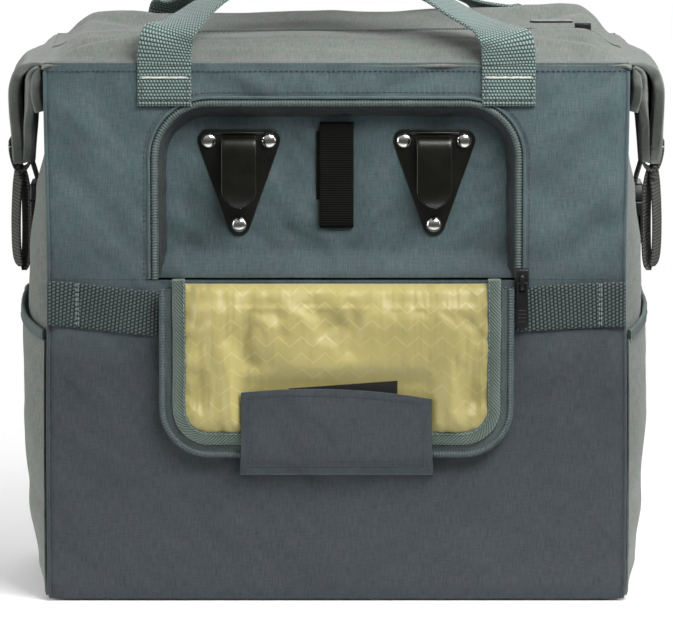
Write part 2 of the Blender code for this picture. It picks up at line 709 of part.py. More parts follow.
def main():
    clear_scene()
    mats = make_materials()
    make_shell(mats)
    make_boards(mats)
    make_recess(mats)
    make_lining(mats)
    make_hooks(mats)
    make_centre_loop(mats)
    strip_front = make_flap(mats)
    make_keeper(mats, strip_front)
    make_luggage_band(mats)
    make_window_slider(mats)
    make_top(mats)
    make_ends(mats)
    make_pockets(mats)


main()
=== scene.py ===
"""Looks of the pannier bag: soft walls, quilted flap, webbing, zips, hooks and buckles.

Metres, +Z up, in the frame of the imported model. The side with the hooks faces -Y.
"""

from math import cos, exp, pi, radians, sin

import bmesh
import bpy
import numpy as np
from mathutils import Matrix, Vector, noise


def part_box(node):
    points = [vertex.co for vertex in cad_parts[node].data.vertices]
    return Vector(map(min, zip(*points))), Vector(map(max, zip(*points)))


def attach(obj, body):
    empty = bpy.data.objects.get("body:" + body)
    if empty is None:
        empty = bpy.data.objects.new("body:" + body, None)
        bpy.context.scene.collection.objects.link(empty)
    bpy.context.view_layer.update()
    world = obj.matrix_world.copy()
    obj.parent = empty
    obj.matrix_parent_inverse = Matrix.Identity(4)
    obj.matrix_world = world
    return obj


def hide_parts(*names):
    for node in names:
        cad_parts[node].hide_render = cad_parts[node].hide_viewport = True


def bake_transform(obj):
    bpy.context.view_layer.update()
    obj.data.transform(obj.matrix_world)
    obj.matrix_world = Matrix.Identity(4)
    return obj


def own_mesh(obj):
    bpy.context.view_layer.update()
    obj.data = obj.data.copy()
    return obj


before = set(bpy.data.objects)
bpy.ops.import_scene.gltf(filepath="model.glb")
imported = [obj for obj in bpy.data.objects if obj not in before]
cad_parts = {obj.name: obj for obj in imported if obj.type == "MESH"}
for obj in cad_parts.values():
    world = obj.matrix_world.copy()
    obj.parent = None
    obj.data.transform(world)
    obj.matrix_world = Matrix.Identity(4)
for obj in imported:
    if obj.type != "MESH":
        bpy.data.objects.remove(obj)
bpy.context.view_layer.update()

# Driving dimensions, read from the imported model
HALF_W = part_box("back_panel_lower")[1].x
BACK_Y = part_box("back_panel_lower")[0].y
FRONT_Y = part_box("front_panel")[1].y
SEAM_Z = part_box("back_panel_lower")[1].z
WALL_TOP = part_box("front_panel")[1].z
WINDOW_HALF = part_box("body_zip_chain")[1].x + 0.0003
WINDOW_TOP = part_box("body_zip_chain")[1].z + 0.0003
FLAP_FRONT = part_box("flap_lining")[0].y
FLAP_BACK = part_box("flap_lining")[1].y

# Dimensions of the cover and what is sewn or riveted to it
CLOTH = 0.0012
WINDOW_RADIUS = 0.036
FOLD_Z = 0.195
HOOK_X = 0.0585
HANDLE_X = 0.1025
RIVET_X, RIVET_HIGH, RIVET_LOW = 0.018, 0.2785, 0.2276

# Directions: away from the bag on the side with the hooks, upwards, and along the bag
OUT, UP, ALONG = (0, -1, 0), (0, 0, 1), (1, 0, 0)


# Small mathematics

def matched(a, b):
    """Both as arrays of one shape."""
    return np.broadcast_arrays(np.asarray(a, float), np.asarray(b, float))


def ease(a, b, x):
    t = np.clip((np.asarray(x, float) - a) / (b - a), 0, 1)
    return t * t * (3 - 2 * t)


def hump(x, centre, width):
    return np.exp(-(((np.asarray(x, float) - centre) / width) ** 2))


def curve(knots, x):
    """Smooth value at x through (place, value) pairs."""
    places, values = np.array(knots, float).T
    x = np.clip(np.asarray(x, float), places[0], places[-1])
    i = np.clip(np.searchsorted(places, x) - 1, 0, len(places) - 2)
    t = (x - places[i]) / (places[i + 1] - places[i])
    t = t * t * (3 - 2 * t)
    return values[i] * (1 - t) + values[i + 1] * t


def rough(a, b, scale, seed):
    """Smooth noise from -1 to 1 at each pair of coordinates."""
    a, b = matched(a, b)
    flat = [noise.noise(Vector((p / scale, q / scale, seed))) for p, q in zip(a.flat, b.flat)]
    return np.array(flat).reshape(a.shape)


def ridge(x, y, start, end, width):
    """Height of a fold along a straight line, which dies out towards both ends."""
    fade = 0.25
    sx, sy = start
    dx, dy = end[0] - sx, end[1] - sy
    length2 = dx * dx + dy * dy
    t = ((x - sx) * dx + (y - sy) * dy) / length2
    away = np.abs((x - sx) * dy - (y - sy) * dx) / length2**0.5
    return np.exp(-((away / width) ** 2)) * ease(0, fade, t) * (1 - ease(1 - fade, 1, t))


def rail(points, steps=8):
    """Catmull-Rom points through the given ones."""
    p = np.array(points, float)
    p = np.vstack([2 * p[0] - p[1], p, 2 * p[-1] - p[-2]])
    path = []
    for a, b, c, d in zip(p, p[1:], p[2:], p[3:]):
        for t in np.arange(steps) / steps:
            cubic = (3 * b - a - 3 * c + d) * t**3
            path.append(0.5 * (2 * b + (c - a) * t + (2 * a - 5 * b + 4 * c - d) * t**2 + cubic))
    return np.array(path + [p[-2]])


def measure(path):
    """Arc length at each point."""
    return np.concatenate([[0], np.cumsum(np.linalg.norm(np.diff(path, axis=0), axis=1))])


def even(path, step, *others):
    """The path and its companions, resampled at an even spacing."""
    s = measure(path)
    count = max(2, int(round(s[-1] / step)) + 1)
    at = np.linspace(0, s[-1], count)
    return [spots(*(np.interp(at, s, column) for column in q.T)) for q in (path, *others)]


def spots(*coordinates):
    """Points, or a grid of them, from their coordinates."""
    return np.stack(np.broadcast_arrays(*coordinates), -1)


def grid_of(rows, columns):
    return np.meshgrid(rows, columns, indexing="ij")


def between(inner, outer, shares):
    """A grid of rows that go from one line of points to another."""
    shares = np.asarray(shares)[:, None, None]
    return inner[None] * (1 - shares) + outer[None] * shares


def creases(a, b, rows):
    """Sum of folds, each one given as its height, start, end and width."""
    return sum(height * ridge(a, b, start, end, width) for height, start, end, width in rows)


def unit(v):
    return v / np.maximum(np.linalg.norm(v, axis=-1, keepdims=True), 1e-12)


def arch(inset, bottom, top=None, arc=12, leg=1, across=1):
    """The window's outline moved inwards: up the +X leg, over the top, down the -X leg."""
    half, radius = WINDOW_HALF - inset, max(WINDOW_RADIUS - inset, 0.004)
    high = (WINDOW_TOP if top is None else top) - inset
    legs = [(half, z) for z in np.linspace(bottom, high - radius, leg + 1)[:-1]]
    bend = [
        (half - radius + radius * cos(a), high - radius + radius * sin(a))
        for a in np.linspace(0, pi / 2, arc + 1)
    ]
    flat = [(x, high) for x in np.linspace(half - radius, 0, across + 1)[1:]]
    points = legs + bend + flat
    return np.array(points + [(-x, z) for x, z in reversed(points[:-1])])


def hang(outline):
    """The closed flap's outline, turned half a turn about its fold."""
    return np.array([(x, 2 * FOLD_Z - z) for x, z in outline])


# Mesh building

def finish(obj, look, body, node=None):
    """Gives a piece its material, the body it rides and the node it stands for."""
    obj.data.materials.clear()
    obj.data.materials.append(MAT[look])
    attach(obj, body)
    if node:
        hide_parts(node)


def placed(name, data):
    """A new object in the scene."""
    obj = bpy.data.objects.new(name, data)
    bpy.context.scene.collection.objects.link(obj)
    return obj


def mesh_object(name, verts, faces, uv=None, sharp=0.7):
    mesh = bpy.data.meshes.new(name)
    mesh.from_pydata([tuple(map(float, v)) for v in verts], [], faces)
    if uv is not None:
        layer = mesh.uv_layers.new(name="UVMap")
        index = np.zeros(len(mesh.loops), np.int32)
        mesh.loops.foreach_get("vertex_index", index)
        layer.data.foreach_set("uv", np.asarray(uv, np.float32)[index].ravel())
    bm = bmesh.new()
    bm.from_mesh(mesh)
    bmesh.ops.recalc_face_normals(bm, faces=bm.faces)
    bm.to_mesh(mesh)
    bm.free()
    obj = placed(name, mesh)
    smooth(obj, sharp)
    return obj


def bands(rows, ring, start=0):
    """Faces between closed rings of vertices that follow one another."""
    faces, after = [], [*range(1, ring), 0]
    for a in range(start, start + (rows - 1) * ring, ring):
        faces += [(a + k, a + m, a + ring + m, a + ring + k) for k, m in enumerate(after)]
    return faces


def tube_faces(rows, ring, start=0):
    """The faces between rings and the caps at both ends."""
    last = start + (rows - 1) * ring
    return [*bands(rows, ring, start), tuple(range(start, start + ring))[::-1], tuple(range(last, last + ring))]


def prism(name, low, high, sharp=0.6):
    """A solid between two rings of points."""
    count = len(low)
    faces = [tuple(range(count)), tuple(range(count, 2 * count))[::-1], *bands(2, count)]
    return mesh_object(name, [*low, *high], faces, sharp=sharp)


def smooth(obj, angle=0.7):
    obj.data.shade_smooth()
    obj.data.set_sharp_from_angle(angle=angle)


def join(name, objects):
    """One object of several separate meshes."""
    bm = bmesh.new()
    for obj in objects:
        bm.from_mesh(obj.data)
        bpy.data.objects.remove(obj)
    mesh = bpy.data.meshes.new(name)
    bm.to_mesh(mesh)
    bm.free()
    return placed(name, mesh)


def skin(name, points, thickness=CLOTH, uv=(0, 2), flip=False):
    """A closed sheet: the grid is its outer face and the inner one lies behind it.

    uv names the two coordinates, or is a grid of texture coordinates in metres."""
    p = np.asarray(points, float)
    rows, cols = p.shape[:2]
    du, dv = np.gradient(p, axis=0), np.gradient(p, axis=1)
    normal = unit(np.cross(du, dv)) * (-1 if flip else 1)
    inner = p - normal * thickness
    verts = np.vstack([p.reshape(-1, 3), inner.reshape(-1, 3)])
    if isinstance(uv, tuple):
        uv = p[..., list(uv)]
    coords = np.vstack([uv.reshape(-1, 2)] * 2)
    at = np.arange(rows * cols).reshape(rows, cols)
    half = rows * cols
    faces = []
    for a, b, c, d in zip(at[:-1, :-1].flat, at[:-1, 1:].flat, at[1:, 1:].flat, at[1:, :-1].flat):
        faces.append((a, b, c, d))
        faces.append((half + d, half + c, half + b, half + a))
    rim = list(at[0]) + list(at[1:, -1]) + list(at[-1, -2::-1]) + list(at[-2:0:-1, 0])
    for a, b in zip(rim, rim[1:] + rim[:1]):
        faces.append((a, half + a, half + b, b))
    return mesh_object(name, verts, [tuple(int(i) for i in f) for f in faces], coords)


def section(width, thickness, across=10, turn=4):
    """Outline of flat webbing with round edges: (across, up) and its texture coordinate."""
    r = thickness / 2
    flat = np.linspace(-(width / 2 - r), width / 2 - r, across + 1)
    angles = np.linspace(0, pi, turn + 1)[1:-1]
    right = [(flat[-1] + r * sin(a), r * cos(a), flat[-1] + r * a) for a in angles]
    left = [(flat[0] - r * sin(a), -r * cos(a), flat[0] - r * (pi - a)) for a in angles]
    return np.array([(x, r, x) for x in flat] + right + [(x, -r, x) for x in flat[::-1]] + left)


def sweep(name, path, normals, outline, scale=None):
    """A closed outline carried along a path; each normal is the outline's up."""
    path = np.asarray(path, float)
    tangent, _, side = frames(path, normals)
    up = unit(np.cross(side, tangent))
    size = np.ones(len(path)) if scale is None else np.asarray(scale)
    verts, uv = [], []
    for i, along in enumerate(measure(path)):
        for a, b, t in outline:
            verts.append(path[i] + side[i] * a * size[i] + up[i] * b)
            uv.append((t, along))
    return mesh_object(name, verts, tube_faces(len(path), len(outline)), uv, sharp=1.1)


def frames(path, normals):
    """Tangents, normals and sideways directions along a path."""
    normals = np.broadcast_to(np.asarray(normals, float), path.shape)
    tangent = unit(np.gradient(path, axis=0))
    return tangent, unit(normals), unit(np.cross(tangent, normals))


def facing(path, direction=ALONG):
    """Normals across a path, square to a direction."""
    return np.cross(unit(np.gradient(path, axis=0)), direction)


def strap(name, path, normals, width, thickness, step=0.002, **options):
    path, normals = even(np.asarray(path, float), step, np.broadcast_to(normals, np.shape(path)))
    return sweep(name, path, normals, section(width, thickness), **options)


def beads(name, path, normals, pitch, length, radius, across=0.0, lift=0.4):
    """A row of small rounded bars laid along a path, or turned across it."""
    path = np.asarray(path, float)
    path, normals = even(path, pitch, np.broadcast_to(np.asarray(normals, float), path.shape))
    stations = ((-1.0, 0.35, -0.9), (-0.8, 0.85, -0.3), (0.0, 1.0, 0.1), (0.8, 0.85, -0.3), (1.0, 0.35, -0.9))
    ring = [(cos(a), sin(a)) for a in np.linspace(0, 2 * pi, 7)[:-1]]
    verts, faces = [], []
    tangents, ups, sides = frames(path, unit(normals))
    for p, n, t, s in zip(path, ups, tangents, sides):
        run = t * cos(across) + s * sin(across)
        wide = s * cos(across) - t * sin(across)
        faces += tube_faces(len(stations), len(ring), len(verts))
        for along, size, rise in stations:
            centre = p + run * along * length / 2 + n * radius * (lift + rise)
            verts += [centre + (wide * a + n * b) * radius * size for a, b in ring]
    return mesh_object(name, verts, faces, sharp=2.0)


def sewn(name, lines, *measures):
    """One object of several rows of stitches, each one a path and its normal."""
    return join(name, [beads("row", path, normal, *measures) for path, normal in lines])


def turned(name, profile, centre):
    """A solid of revolution about Y; the profile is (radius, y) from tip to tail."""
    segments = 40
    verts, faces, rings = [], [], []
    for radius, y in profile:
        count = 1 if radius == 0 else segments
        rings.append((len(verts), count))
        for k in range(count):
            a = 2 * pi * k / segments
            verts.append((centre[0] + radius * cos(a), y, centre[1] + radius * sin(a)))
    for (a, n), (b, m) in zip(rings, rings[1:]):
        for k in range(segments):
            q = (k + 1) % segments
            if n == 1:
                faces.append((a, b + q, b + k))
            elif m == 1:
                faces.append((a + k, a + q, b))
            else:
                faces.append((a + k, a + q, b + q, b + k))
    return mesh_object(name, verts, faces, sharp=0.8)


def plate(name, outline, axis, start, end, bevel):
    """A filled outline extruded along an axis, with its edges rounded."""
    column = "XYZ".index(axis)
    low, high = (np.insert(np.array(outline, float), column, depth, axis=1) for depth in (start, end))
    obj = prism(name, low, high)
    bm = bmesh.new()
    bm.from_mesh(obj.data)
    edges = [e for e in bm.edges if len(e.link_faces) == 2 and e.calc_face_angle() > 0.6]
    bmesh.ops.bevel(
        bm, geom=edges, offset=bevel, segments=3, profile=0.5, affect="EDGES", clamp_overlap=True
    )
    bm.to_mesh(obj.data)
    bm.free()
    smooth(obj)
    return obj


def block(name, low, high, bevel=0.0):
    outline = [(low[0], low[2]), (high[0], low[2]), (high[0], high[2]), (low[0], high[2])]
    return plate(name, outline, "Y", low[1], high[1], bevel)


def cut(obj, *tools):
    for tool in tools:
        mod = obj.modifiers.new("cut", "BOOLEAN")
        mod.object = tool
        mod.operation = "DIFFERENCE"
    settle(obj)
    for tool in tools:
        bpy.data.objects.remove(tool)
    return obj


def settle(obj):
    """Applies the object's modifiers."""
    graph = bpy.context.evaluated_depsgraph_get()
    mesh = bpy.data.meshes.new_from_object(obj.evaluated_get(graph))
    obj.modifiers.clear()
    obj.data = mesh
    return obj


# Materials

class Graph:
    """A Principled material whose colour, roughness and relief are worked out by nodes."""

    def __init__(self, name, roughness=0.8, metallic=0.0, specular=0.3, sheen=0.0, sheen_tint=None):
        self.mat = bpy.data.materials.new(name)
        self.mat.use_nodes = True
        self.tree = self.mat.node_tree
        self.shader = self.tree.nodes["Principled BSDF"]
        looks = {"Roughness": roughness, "Metallic": metallic, "Specular IOR Level": specular,
                 "Sheen Weight": sheen, "Sheen Roughness": 0.45}
        if sheen_tint:
            looks["Sheen Tint"] = (*sheen_tint, 1)
        for key, value in looks.items():
            self.put(self.shader.inputs[key], value)
        self.normal = None

    def put(self, socket, value):
        if isinstance(value, bpy.types.NodeSocket):
            self.tree.links.new(value, socket)
        else:
            socket.default_value = value

    def node(self, kind, inputs, **settings):
        made = self.tree.nodes.new(kind)
        for key, value in settings.items():
            setattr(made, key, value)
        for key, value in inputs.items():
            self.put(made.inputs[key], value)
        return made

    def math(self, operation, a, b=0.0):
        return self.node("ShaderNodeMath", {0: a, 1: b}, operation=operation).outputs[0]

    def times(self, a, b):
        return self.math("MULTIPLY", a, b)

    def plus(self, a, b):
        return self.math("ADD", a, b)

    def minus(self, a, b):
        return self.math("SUBTRACT", a, b)

    def magnitude(self, a):
        return self.math("ABSOLUTE", a)

    def fraction(self, a):
        return self.math("FRACT", a)

    def sine(self, a):
        return self.math("SINE", a)

    def vector(self, x, y, z=0.0):
        return self.node("ShaderNodeCombineXYZ", {0: x, 1: y, 2: z}).outputs[0]

    def stretched(self, vector, factors):
        return self.node("ShaderNodeVectorMath", {0: vector, 1: factors}, operation="MULTIPLY").outputs[0]

    def cloud(self, scale, detail, low, high):
        """Soft patches between two values."""
        return self.spread(self.noise(scale, detail), 0.3, 0.7, low, high)

    def tinted(self, colour, factor):
        """Sets the colour to one that varies with a factor."""
        self.colour(self.scaled(colour, factor))

    def split(self, socket):
        return tuple(self.node("ShaderNodeSeparateXYZ", {0: socket}).outputs)

    def uv(self):
        return self.split(self.node("ShaderNodeUVMap", {}, uv_map="UVMap").outputs[0])[:2]

    def place(self):
        return self.node("ShaderNodeTexCoord", {}).outputs["Object"]

    def noise(self, scale, detail, vector=None):
        vector = self.place() if vector is None else vector
        inputs = {"Vector": vector, "Scale": scale, "Detail": detail, "Roughness": 0.55}
        return self.node("ShaderNodeTexNoise", inputs).outputs[0]

    def spread(self, value, low, high, to_low=0.0, to_high=1.0):
        inputs = {0: value, 1: low, 2: high, 3: to_low, 4: to_high}
        return self.node("ShaderNodeMapRange", inputs, clamp=True).outputs[0]

    def wave(self, value, pitch):
        """Absolute sine: a row of round humps, one each pitch."""
        turn = self.times(value, pi / pitch)
        return self.magnitude(self.sine(turn))

    def mix(self, factor, a, b):
        made = self.node("ShaderNodeMix", {0: factor}, data_type="RGBA")
        self.put(made.inputs[6], a if isinstance(a, bpy.types.NodeSocket) else (*a, 1))
        self.put(made.inputs[7], b if isinstance(b, bpy.types.NodeSocket) else (*b, 1))
        return made.outputs[2]

    def scaled(self, colour, factor):
        """The colour times a factor that varies over the surface."""
        made = self.node("ShaderNodeVectorMath", {0: colour, "Scale": factor}, operation="SCALE")
        return made.outputs[0]

    def colour(self, socket):
        self.put(self.shader.inputs["Base Color"], socket)

    def roughness(self, socket):
        self.put(self.shader.inputs["Roughness"], socket)

    def relief(self, height, distance, strength=1.0):
        inputs = {"Height": height, "Distance": distance, "Strength": strength}
        if self.normal:
            inputs["Normal"] = self.normal
        self.normal = self.node("ShaderNodeBump", inputs).outputs[0]
        self.put(self.shader.inputs["Normal"], self.normal)

    def plain_weave(self, u, v, pitch):
        """Threads that pass over and under each other in a chequer."""
        warp = self.wave(u, pitch)
        weft = self.wave(v, pitch)
        a = self.sine(self.times(u, pi / pitch))
        b = self.sine(self.times(v, pi / pitch))
        over = self.spread(self.times(a, b), -0.2, 0.2)
        under = self.minus(1.0, over)
        return self.plus(self.times(warp, over), self.times(weft, under))

    def cobbles(self, u, v, wide, long):
        """Rows of short leaning knots, each row shifted by half a knot."""
        row = self.times(v, 1 / long)
        shift = self.times(self.math("MODULO", self.math("FLOOR", row), 2.0), wide / 2)
        lean = self.times(self.fraction(row), wide * 0.18)
        across = self.plus(self.plus(u, shift), lean)
        return self.math("POWER", self.times(self.wave(across, wide), self.wave(v, long)), 0.6)


def woven(name, colour, pitch, rough=0.82, sheen=0.25, relief=0.00018, tint=None, low=None):
    """Coated plain-weave cloth, heathered from thread to thread; low is a darker colour painted onto its lower
    part as shade.
    """
    g = Graph(name, rough, sheen=sheen, sheen_tint=tint)
    u, v = g.uv()
    weave = g.plain_weave(u, v, pitch)
    warp = g.noise(1.0, 2.0, g.vector(g.times(u, 1500.0), g.times(v, 130.0)))
    weft = g.noise(1.0, 2.0, g.vector(g.times(u, 160.0), g.times(v, 1300.0)))
    cloud = g.noise(14.0, 4.0)
    patch = g.noise(120.0, 3.0)
    # Painted shade in the hollows of the weave and painted light on the crowns of the threads.
    weave_shading = g.spread(weave, 0.0, 1.0, 0.72, 1.12)
    slub = g.spread(g.plus(g.times(warp, 1.25), g.times(weft, 0.75)), 0.7, 1.3, 0.76, 1.24)
    mottle = 0.16
    cloudy = g.spread(g.plus(cloud, g.times(patch, 0.5)), 0.45, 1.05, 1 - mottle / 2, 1 + mottle / 2)
    factor = g.times(g.times(weave_shading, slub), cloudy)
    # Painted shade: further down, the cloth blends into the darker low colour, standing in for less light
    # reaching the lower panel.
    if low:
        height = g.plus(g.split(g.place())[2], g.times(cloud, 0.10))
        colour = g.mix(g.spread(height, 0.19, 0.285), low, colour)
    cool = g.stretched(colour, (0.95, 1.015, 1.0))
    warm = g.stretched(colour, (1.045, 0.99, 1.01))
    base = g.mix(g.spread(patch, 0.38, 0.62), cool, warm)
    g.tinted(base, factor)
    g.roughness(g.spread(weave, 0.0, 1.0, rough + 0.08, rough - 0.06))
    x, _, z = g.split(g.place())
    outward = g.magnitude(x)
    drawn = g.vector(g.times(g.plus(outward, z), 11.0), g.times(g.minus(outward, z), 24.0), g.times(x, 5.0))
    g.relief(g.noise(1.0, 1.5, drawn), 0.0115, 0.9)
    g.relief(g.noise(160.0, 3.0), 0.0006, 0.35)
    g.relief(weave, relief, 0.8)
    return g.mat


def cobbled(name, colour, wide=0.0019, long=0.0020, dark=0.16):
    """Heavy webbing: knots of yarn, with painted shade in the gaps between them and a painted highlight on
    their tops.
    """
    g = Graph(name, sheen=0.2)
    u, v = g.uv()
    knots = g.cobbles(u, v, wide, long)
    # Painted shade and highlight: colour follows the knots' height, dark in the gaps, lighter on top.
    shade = g.spread(knots, 0.30, 0.9, dark, 1.50)
    cloud = g.cloud(35.0, 4.0, 0.90, 1.10)
    g.tinted(colour, g.times(shade, cloud))
    g.roughness(g.spread(knots, 0, 1, 0.8, 0.6))
    g.relief(knots, 0.0005, 1.0)
    return g.mat


def ribbed(name, colour, pitch=0.0014, rough=0.62, dark=0.5, sheen=0.04):
    """Narrow webbing with ribs across it, painted darker between the ribs as shade."""
    g = Graph(name, rough, specular=0.12 if sheen == 0 else 0.2, sheen=sheen)
    u, v = g.uv()
    ribs = g.wave(v, pitch)
    threads = g.wave(u, 0.0006)
    height = g.plus(ribs, g.times(threads, 0.3))
    # Painted shade: the grooves between the ribs darker, the crowns lighter.
    shade = g.spread(ribs, 0.1, 0.9, dark, 1.2)
    cloud = g.cloud(60.0, 4.0, 0.85, 1.15)
    g.tinted(colour, g.times(shade, cloud))
    g.relief(height, 0.00035, 1.0)
    return g.mat


def twilled(name, colour, dark):
    """Tape with ribs on the bias, painted darker between the ribs as shade."""
    g = Graph(name, 0.7, sheen=0.25)
    u, v = g.uv()
    ribs = g.wave(g.plus(v, u), 0.0022)
    threads = g.wave(g.minus(v, u), 0.0007)
    # Painted shade: the grooves between the ribs darker, the crowns lighter.
    shade = g.spread(ribs, 0.1, 0.9, dark, 1.25)
    cloud = g.cloud(50.0, 4.0, 0.88, 1.12)
    g.tinted(colour, g.times(shade, cloud))
    g.relief(g.plus(ribs, g.times(threads, 0.25)), 0.0004, 1.0)
    return g.mat


def satin(name, colour, light):
    """Shiny lining with rows of lighter zigzag woven into it, and painted shade towards +X."""
    period, rise, spacing = 0.0140, 0.0062, 0.0100
    g = Graph(name, 0.42, specular=0.45, sheen=0.35, sheen_tint=(1.0, 0.95, 0.7))
    x, _, z = g.split(g.place())
    along = g.fraction(g.times(x, 1 / period))
    zigzag = g.magnitude(g.minus(along, 0.5))
    level = g.plus(z, g.times(zigzag, 2 * rise))
    row = g.magnitude(g.minus(g.fraction(g.times(level, 1 / spacing)), 0.5))
    line = g.spread(row, 0.035, 0.105, 0.85, 0.0)
    worn = g.spread(g.noise(24.0, 2.0), 0.38, 0.62, 0.10, 0.85)
    line = g.times(line, worn)
    cloud = g.cloud(22.0, 3.0, 0.93, 1.07)
    # Painted shade: the lining darkens towards +X, where it is less lit.
    cloud = g.times(cloud, g.spread(x, 0.015, 0.085, 1.0, 0.84))
    thread = g.wave(z, 0.0007)
    g.tinted(g.mix(line, colour, light), cloud)
    g.roughness(g.spread(line, 0.0, 1.0, 0.44, 0.34))
    hang_down = g.stretched(g.place(), (85.0, 30.0, 16.0))
    sides = g.spread(g.magnitude(x), 0.020, 0.075, 0.25, 1.0)
    g.relief(g.times(g.noise(1.0, 2.0, hang_down), sides), 0.0085, 0.65)
    g.relief(g.noise(90.0, 4.0), 0.0008, 0.35)
    g.relief(line, 0.00018, 0.6)
    g.relief(thread, 0.00008, 0.5)
    return g.mat


def moulded(name, colour):
    """Moulded plastic with a fine grain and rubbed edges."""
    g = Graph(name, 0.4, specular=0.35)
    edge = g.node("ShaderNodeNewGeometry", {}).outputs["Pointiness"]
    wear = g.spread(edge, 0.52, 0.62)
    base = g.mix(wear, colour, [c * 1.8 + 0.004 for c in colour])
    g.tinted(base, g.cloud(300.0, 3.0, 0.88, 1.12))
    g.roughness(g.cloud(90.0, 4.0, 0.32, 0.5))
    g.relief(g.noise(1600.0, 2.0), 0.00008, 0.5)
    return g.mat


def coated_steel(name, colour):
    """Powder-coated sheet: slight orange peel, and a paler rub on its edges."""
    g = Graph(name, 0.33, specular=0.46)
    edge = g.node("ShaderNodeNewGeometry", {}).outputs["Pointiness"]
    rub = g.times(g.spread(edge, 0.53, 0.65), g.spread(g.noise(220.0, 3.0), 0.42, 0.62))
    g.colour(g.mix(rub, colour, (0.09, 0.088, 0.075)))
    g.roughness(g.cloud(70.0, 4.0, 0.26, 0.38))
    g.relief(g.noise(900.0, 2.0), 0.00012, 0.35)
    return g.mat


def nickel(name):
    g = Graph(name, 0.14, metallic=1.0, specular=0.5)
    g.tinted((0.78, 0.77, 0.74), g.cloud(200.0, 3.0, 0.94, 1.04))
    g.roughness(g.spread(g.noise(500.0, 4.0), 0.35, 0.7, 0.10, 0.22))
    g.relief(g.noise(700.0, 2.0), 0.00003, 0.4)
    return g.mat


def thread(name, colour):
    g = Graph(name, 0.55, specular=0.4, sheen=0.3)
    g.tinted(colour, g.cloud(500.0, 2.0, 0.82, 1.15))
    g.relief(g.noise(2500.0, 2.0), 0.0001, 0.6)
    return g.mat


def nylon(name, colour):
    """The zip's coil: smooth monofilament."""
    g = Graph(name, 0.42, specular=0.5, sheen=0.1)
    g.tinted(colour, g.cloud(120.0, 3.0, 0.85, 1.15))
    g.relief(g.noise(1200.0, 2.0), 0.00004, 0.4)
    return g.mat


def pile(name, colour):
    """Hook-and-loop tape."""
    g = Graph(name, 0.95, sheen=0.3)
    fuzz = g.noise(1800.0, 3.0)
    g.tinted(colour, g.spread(fuzz, 0.3, 0.7, 0.5, 1.6))
    g.relief(fuzz, 0.0006, 1.0)
    return g.mat


def fibre_board(name):
    g = Graph(name, 0.6, specular=0.4)
    speck = g.noise(420.0, 4.0)
    g.tinted((0.030, 0.030, 0.032), g.spread(speck, 0.3, 0.7, 0.7, 1.4))
    g.roughness(g.cloud(40.0, 3.0, 0.5, 0.7))
    g.relief(speck, 0.0002, 0.5)
    return g.mat


def floor_paint(name):
    """Pale floor, opaque under the bag and fading out around it."""
    g = Graph(name, 0.9, specular=0.1)
    g.tinted((0.95, 0.95, 0.95), g.cloud(3.0, 3.0, 0.99, 1.01))
    away = g.node("ShaderNodeVectorMath", {0: g.place()}, operation="LENGTH").outputs[1]
    g.put(g.shader.inputs["Alpha"], g.spread(away, 0.24, 0.62, 1.0, 0.0))
    return g.mat


BLUE = (0.077, 0.112, 0.118)
# Painted shade: the blue cloth's darker colour for the lower part of the panel, where less light falls.
LOW_SHADE_BLUE = (0.0475, 0.0550, 0.0615)
KHAKI = (0.148, 0.162, 0.146)
MAT = {
    "blue": woven("blue_grey_weave", BLUE, 0.0007, sheen=0.22, tint=(0.70, 0.90, 1.0), low=LOW_SHADE_BLUE),
    "khaki": woven("khaki_grey_weave", KHAKI, 0.0007, rough=0.85, sheen=0.20, relief=0.00014),
    # recess_side: dark grey cloth, made darker still as painted shade inside the recess.
    "recess_side": woven("recess_gusset_weave", (0.030, 0.036, 0.037), 0.0009, rough=0.8, sheen=0.03),
    "inner": woven("inner_lining_weave", (0.400, 0.360, 0.180), 0.0008, rough=0.6, sheen=0.3),
    "tape": woven("zip_tape_weave", (0.070, 0.094, 0.092), 0.0009, rough=0.75, sheen=0.15),
    "webbing": cobbled("teal_webbing", (0.150, 0.215, 0.200)),
    "band": cobbled("band_webbing", (0.050, 0.074, 0.071), wide=0.0022, long=0.0023, dark=0.08),
    "hem": ribbed("hem_tape", (0.105, 0.134, 0.130), pitch=0.0016, dark=0.6),
    "black_webbing": ribbed("black_webbing_ribs", (0.0042, 0.0045, 0.0034), rough=0.75, sheen=0),
    "dark_webbing": ribbed("dark_webbing_ribs", (0.066, 0.069, 0.062), pitch=0.0021, dark=0.3),
    "binding": twilled("bias_binding", (0.096, 0.132, 0.112), dark=0.40),
    "satin": satin("satin_zigzag", (0.405, 0.350, 0.126), (0.48, 0.425, 0.180)),
    "coil": nylon("zip_coil", (0.088, 0.118, 0.113)),
    "dark_coil": nylon("flap_coil", (0.068, 0.095, 0.094)),
    "plastic": moulded("black_moulding", (0.0055, 0.0055, 0.0060)),
    "hook": coated_steel("hook_coating", (0.0040, 0.0044, 0.0022)),
    "nickel": nickel("polished_nickel"),
    "pile": pile("hook_and_loop_pile", (0.010, 0.010, 0.011)),
    "board": fibre_board("black_fibre_board"),
    "thread": thread("blue_grey_thread", (0.036, 0.036, 0.054)),
    "pale_thread": thread("pale_thread", (0.70, 0.74, 0.68)),
    "teal_thread": thread("teal_thread", (0.16, 0.20, 0.19)),
    "dark_thread": thread("dark_thread", (0.030, 0.036, 0.036)),
}


# Bag walls: one soft surface, cut at its seams

def panel_half(z):
    """Half width of the panel at each height: a slight waist, and round lower corners."""
    corner = 0.007
    low = np.clip(1 - np.asarray(z, float) / corner, 0, 1)
    return HALF_W - 0.0008 - 0.0014 * hump(z, 0.205, 0.07) - corner * 0.5 * (1 - np.sqrt(1 - low**2))


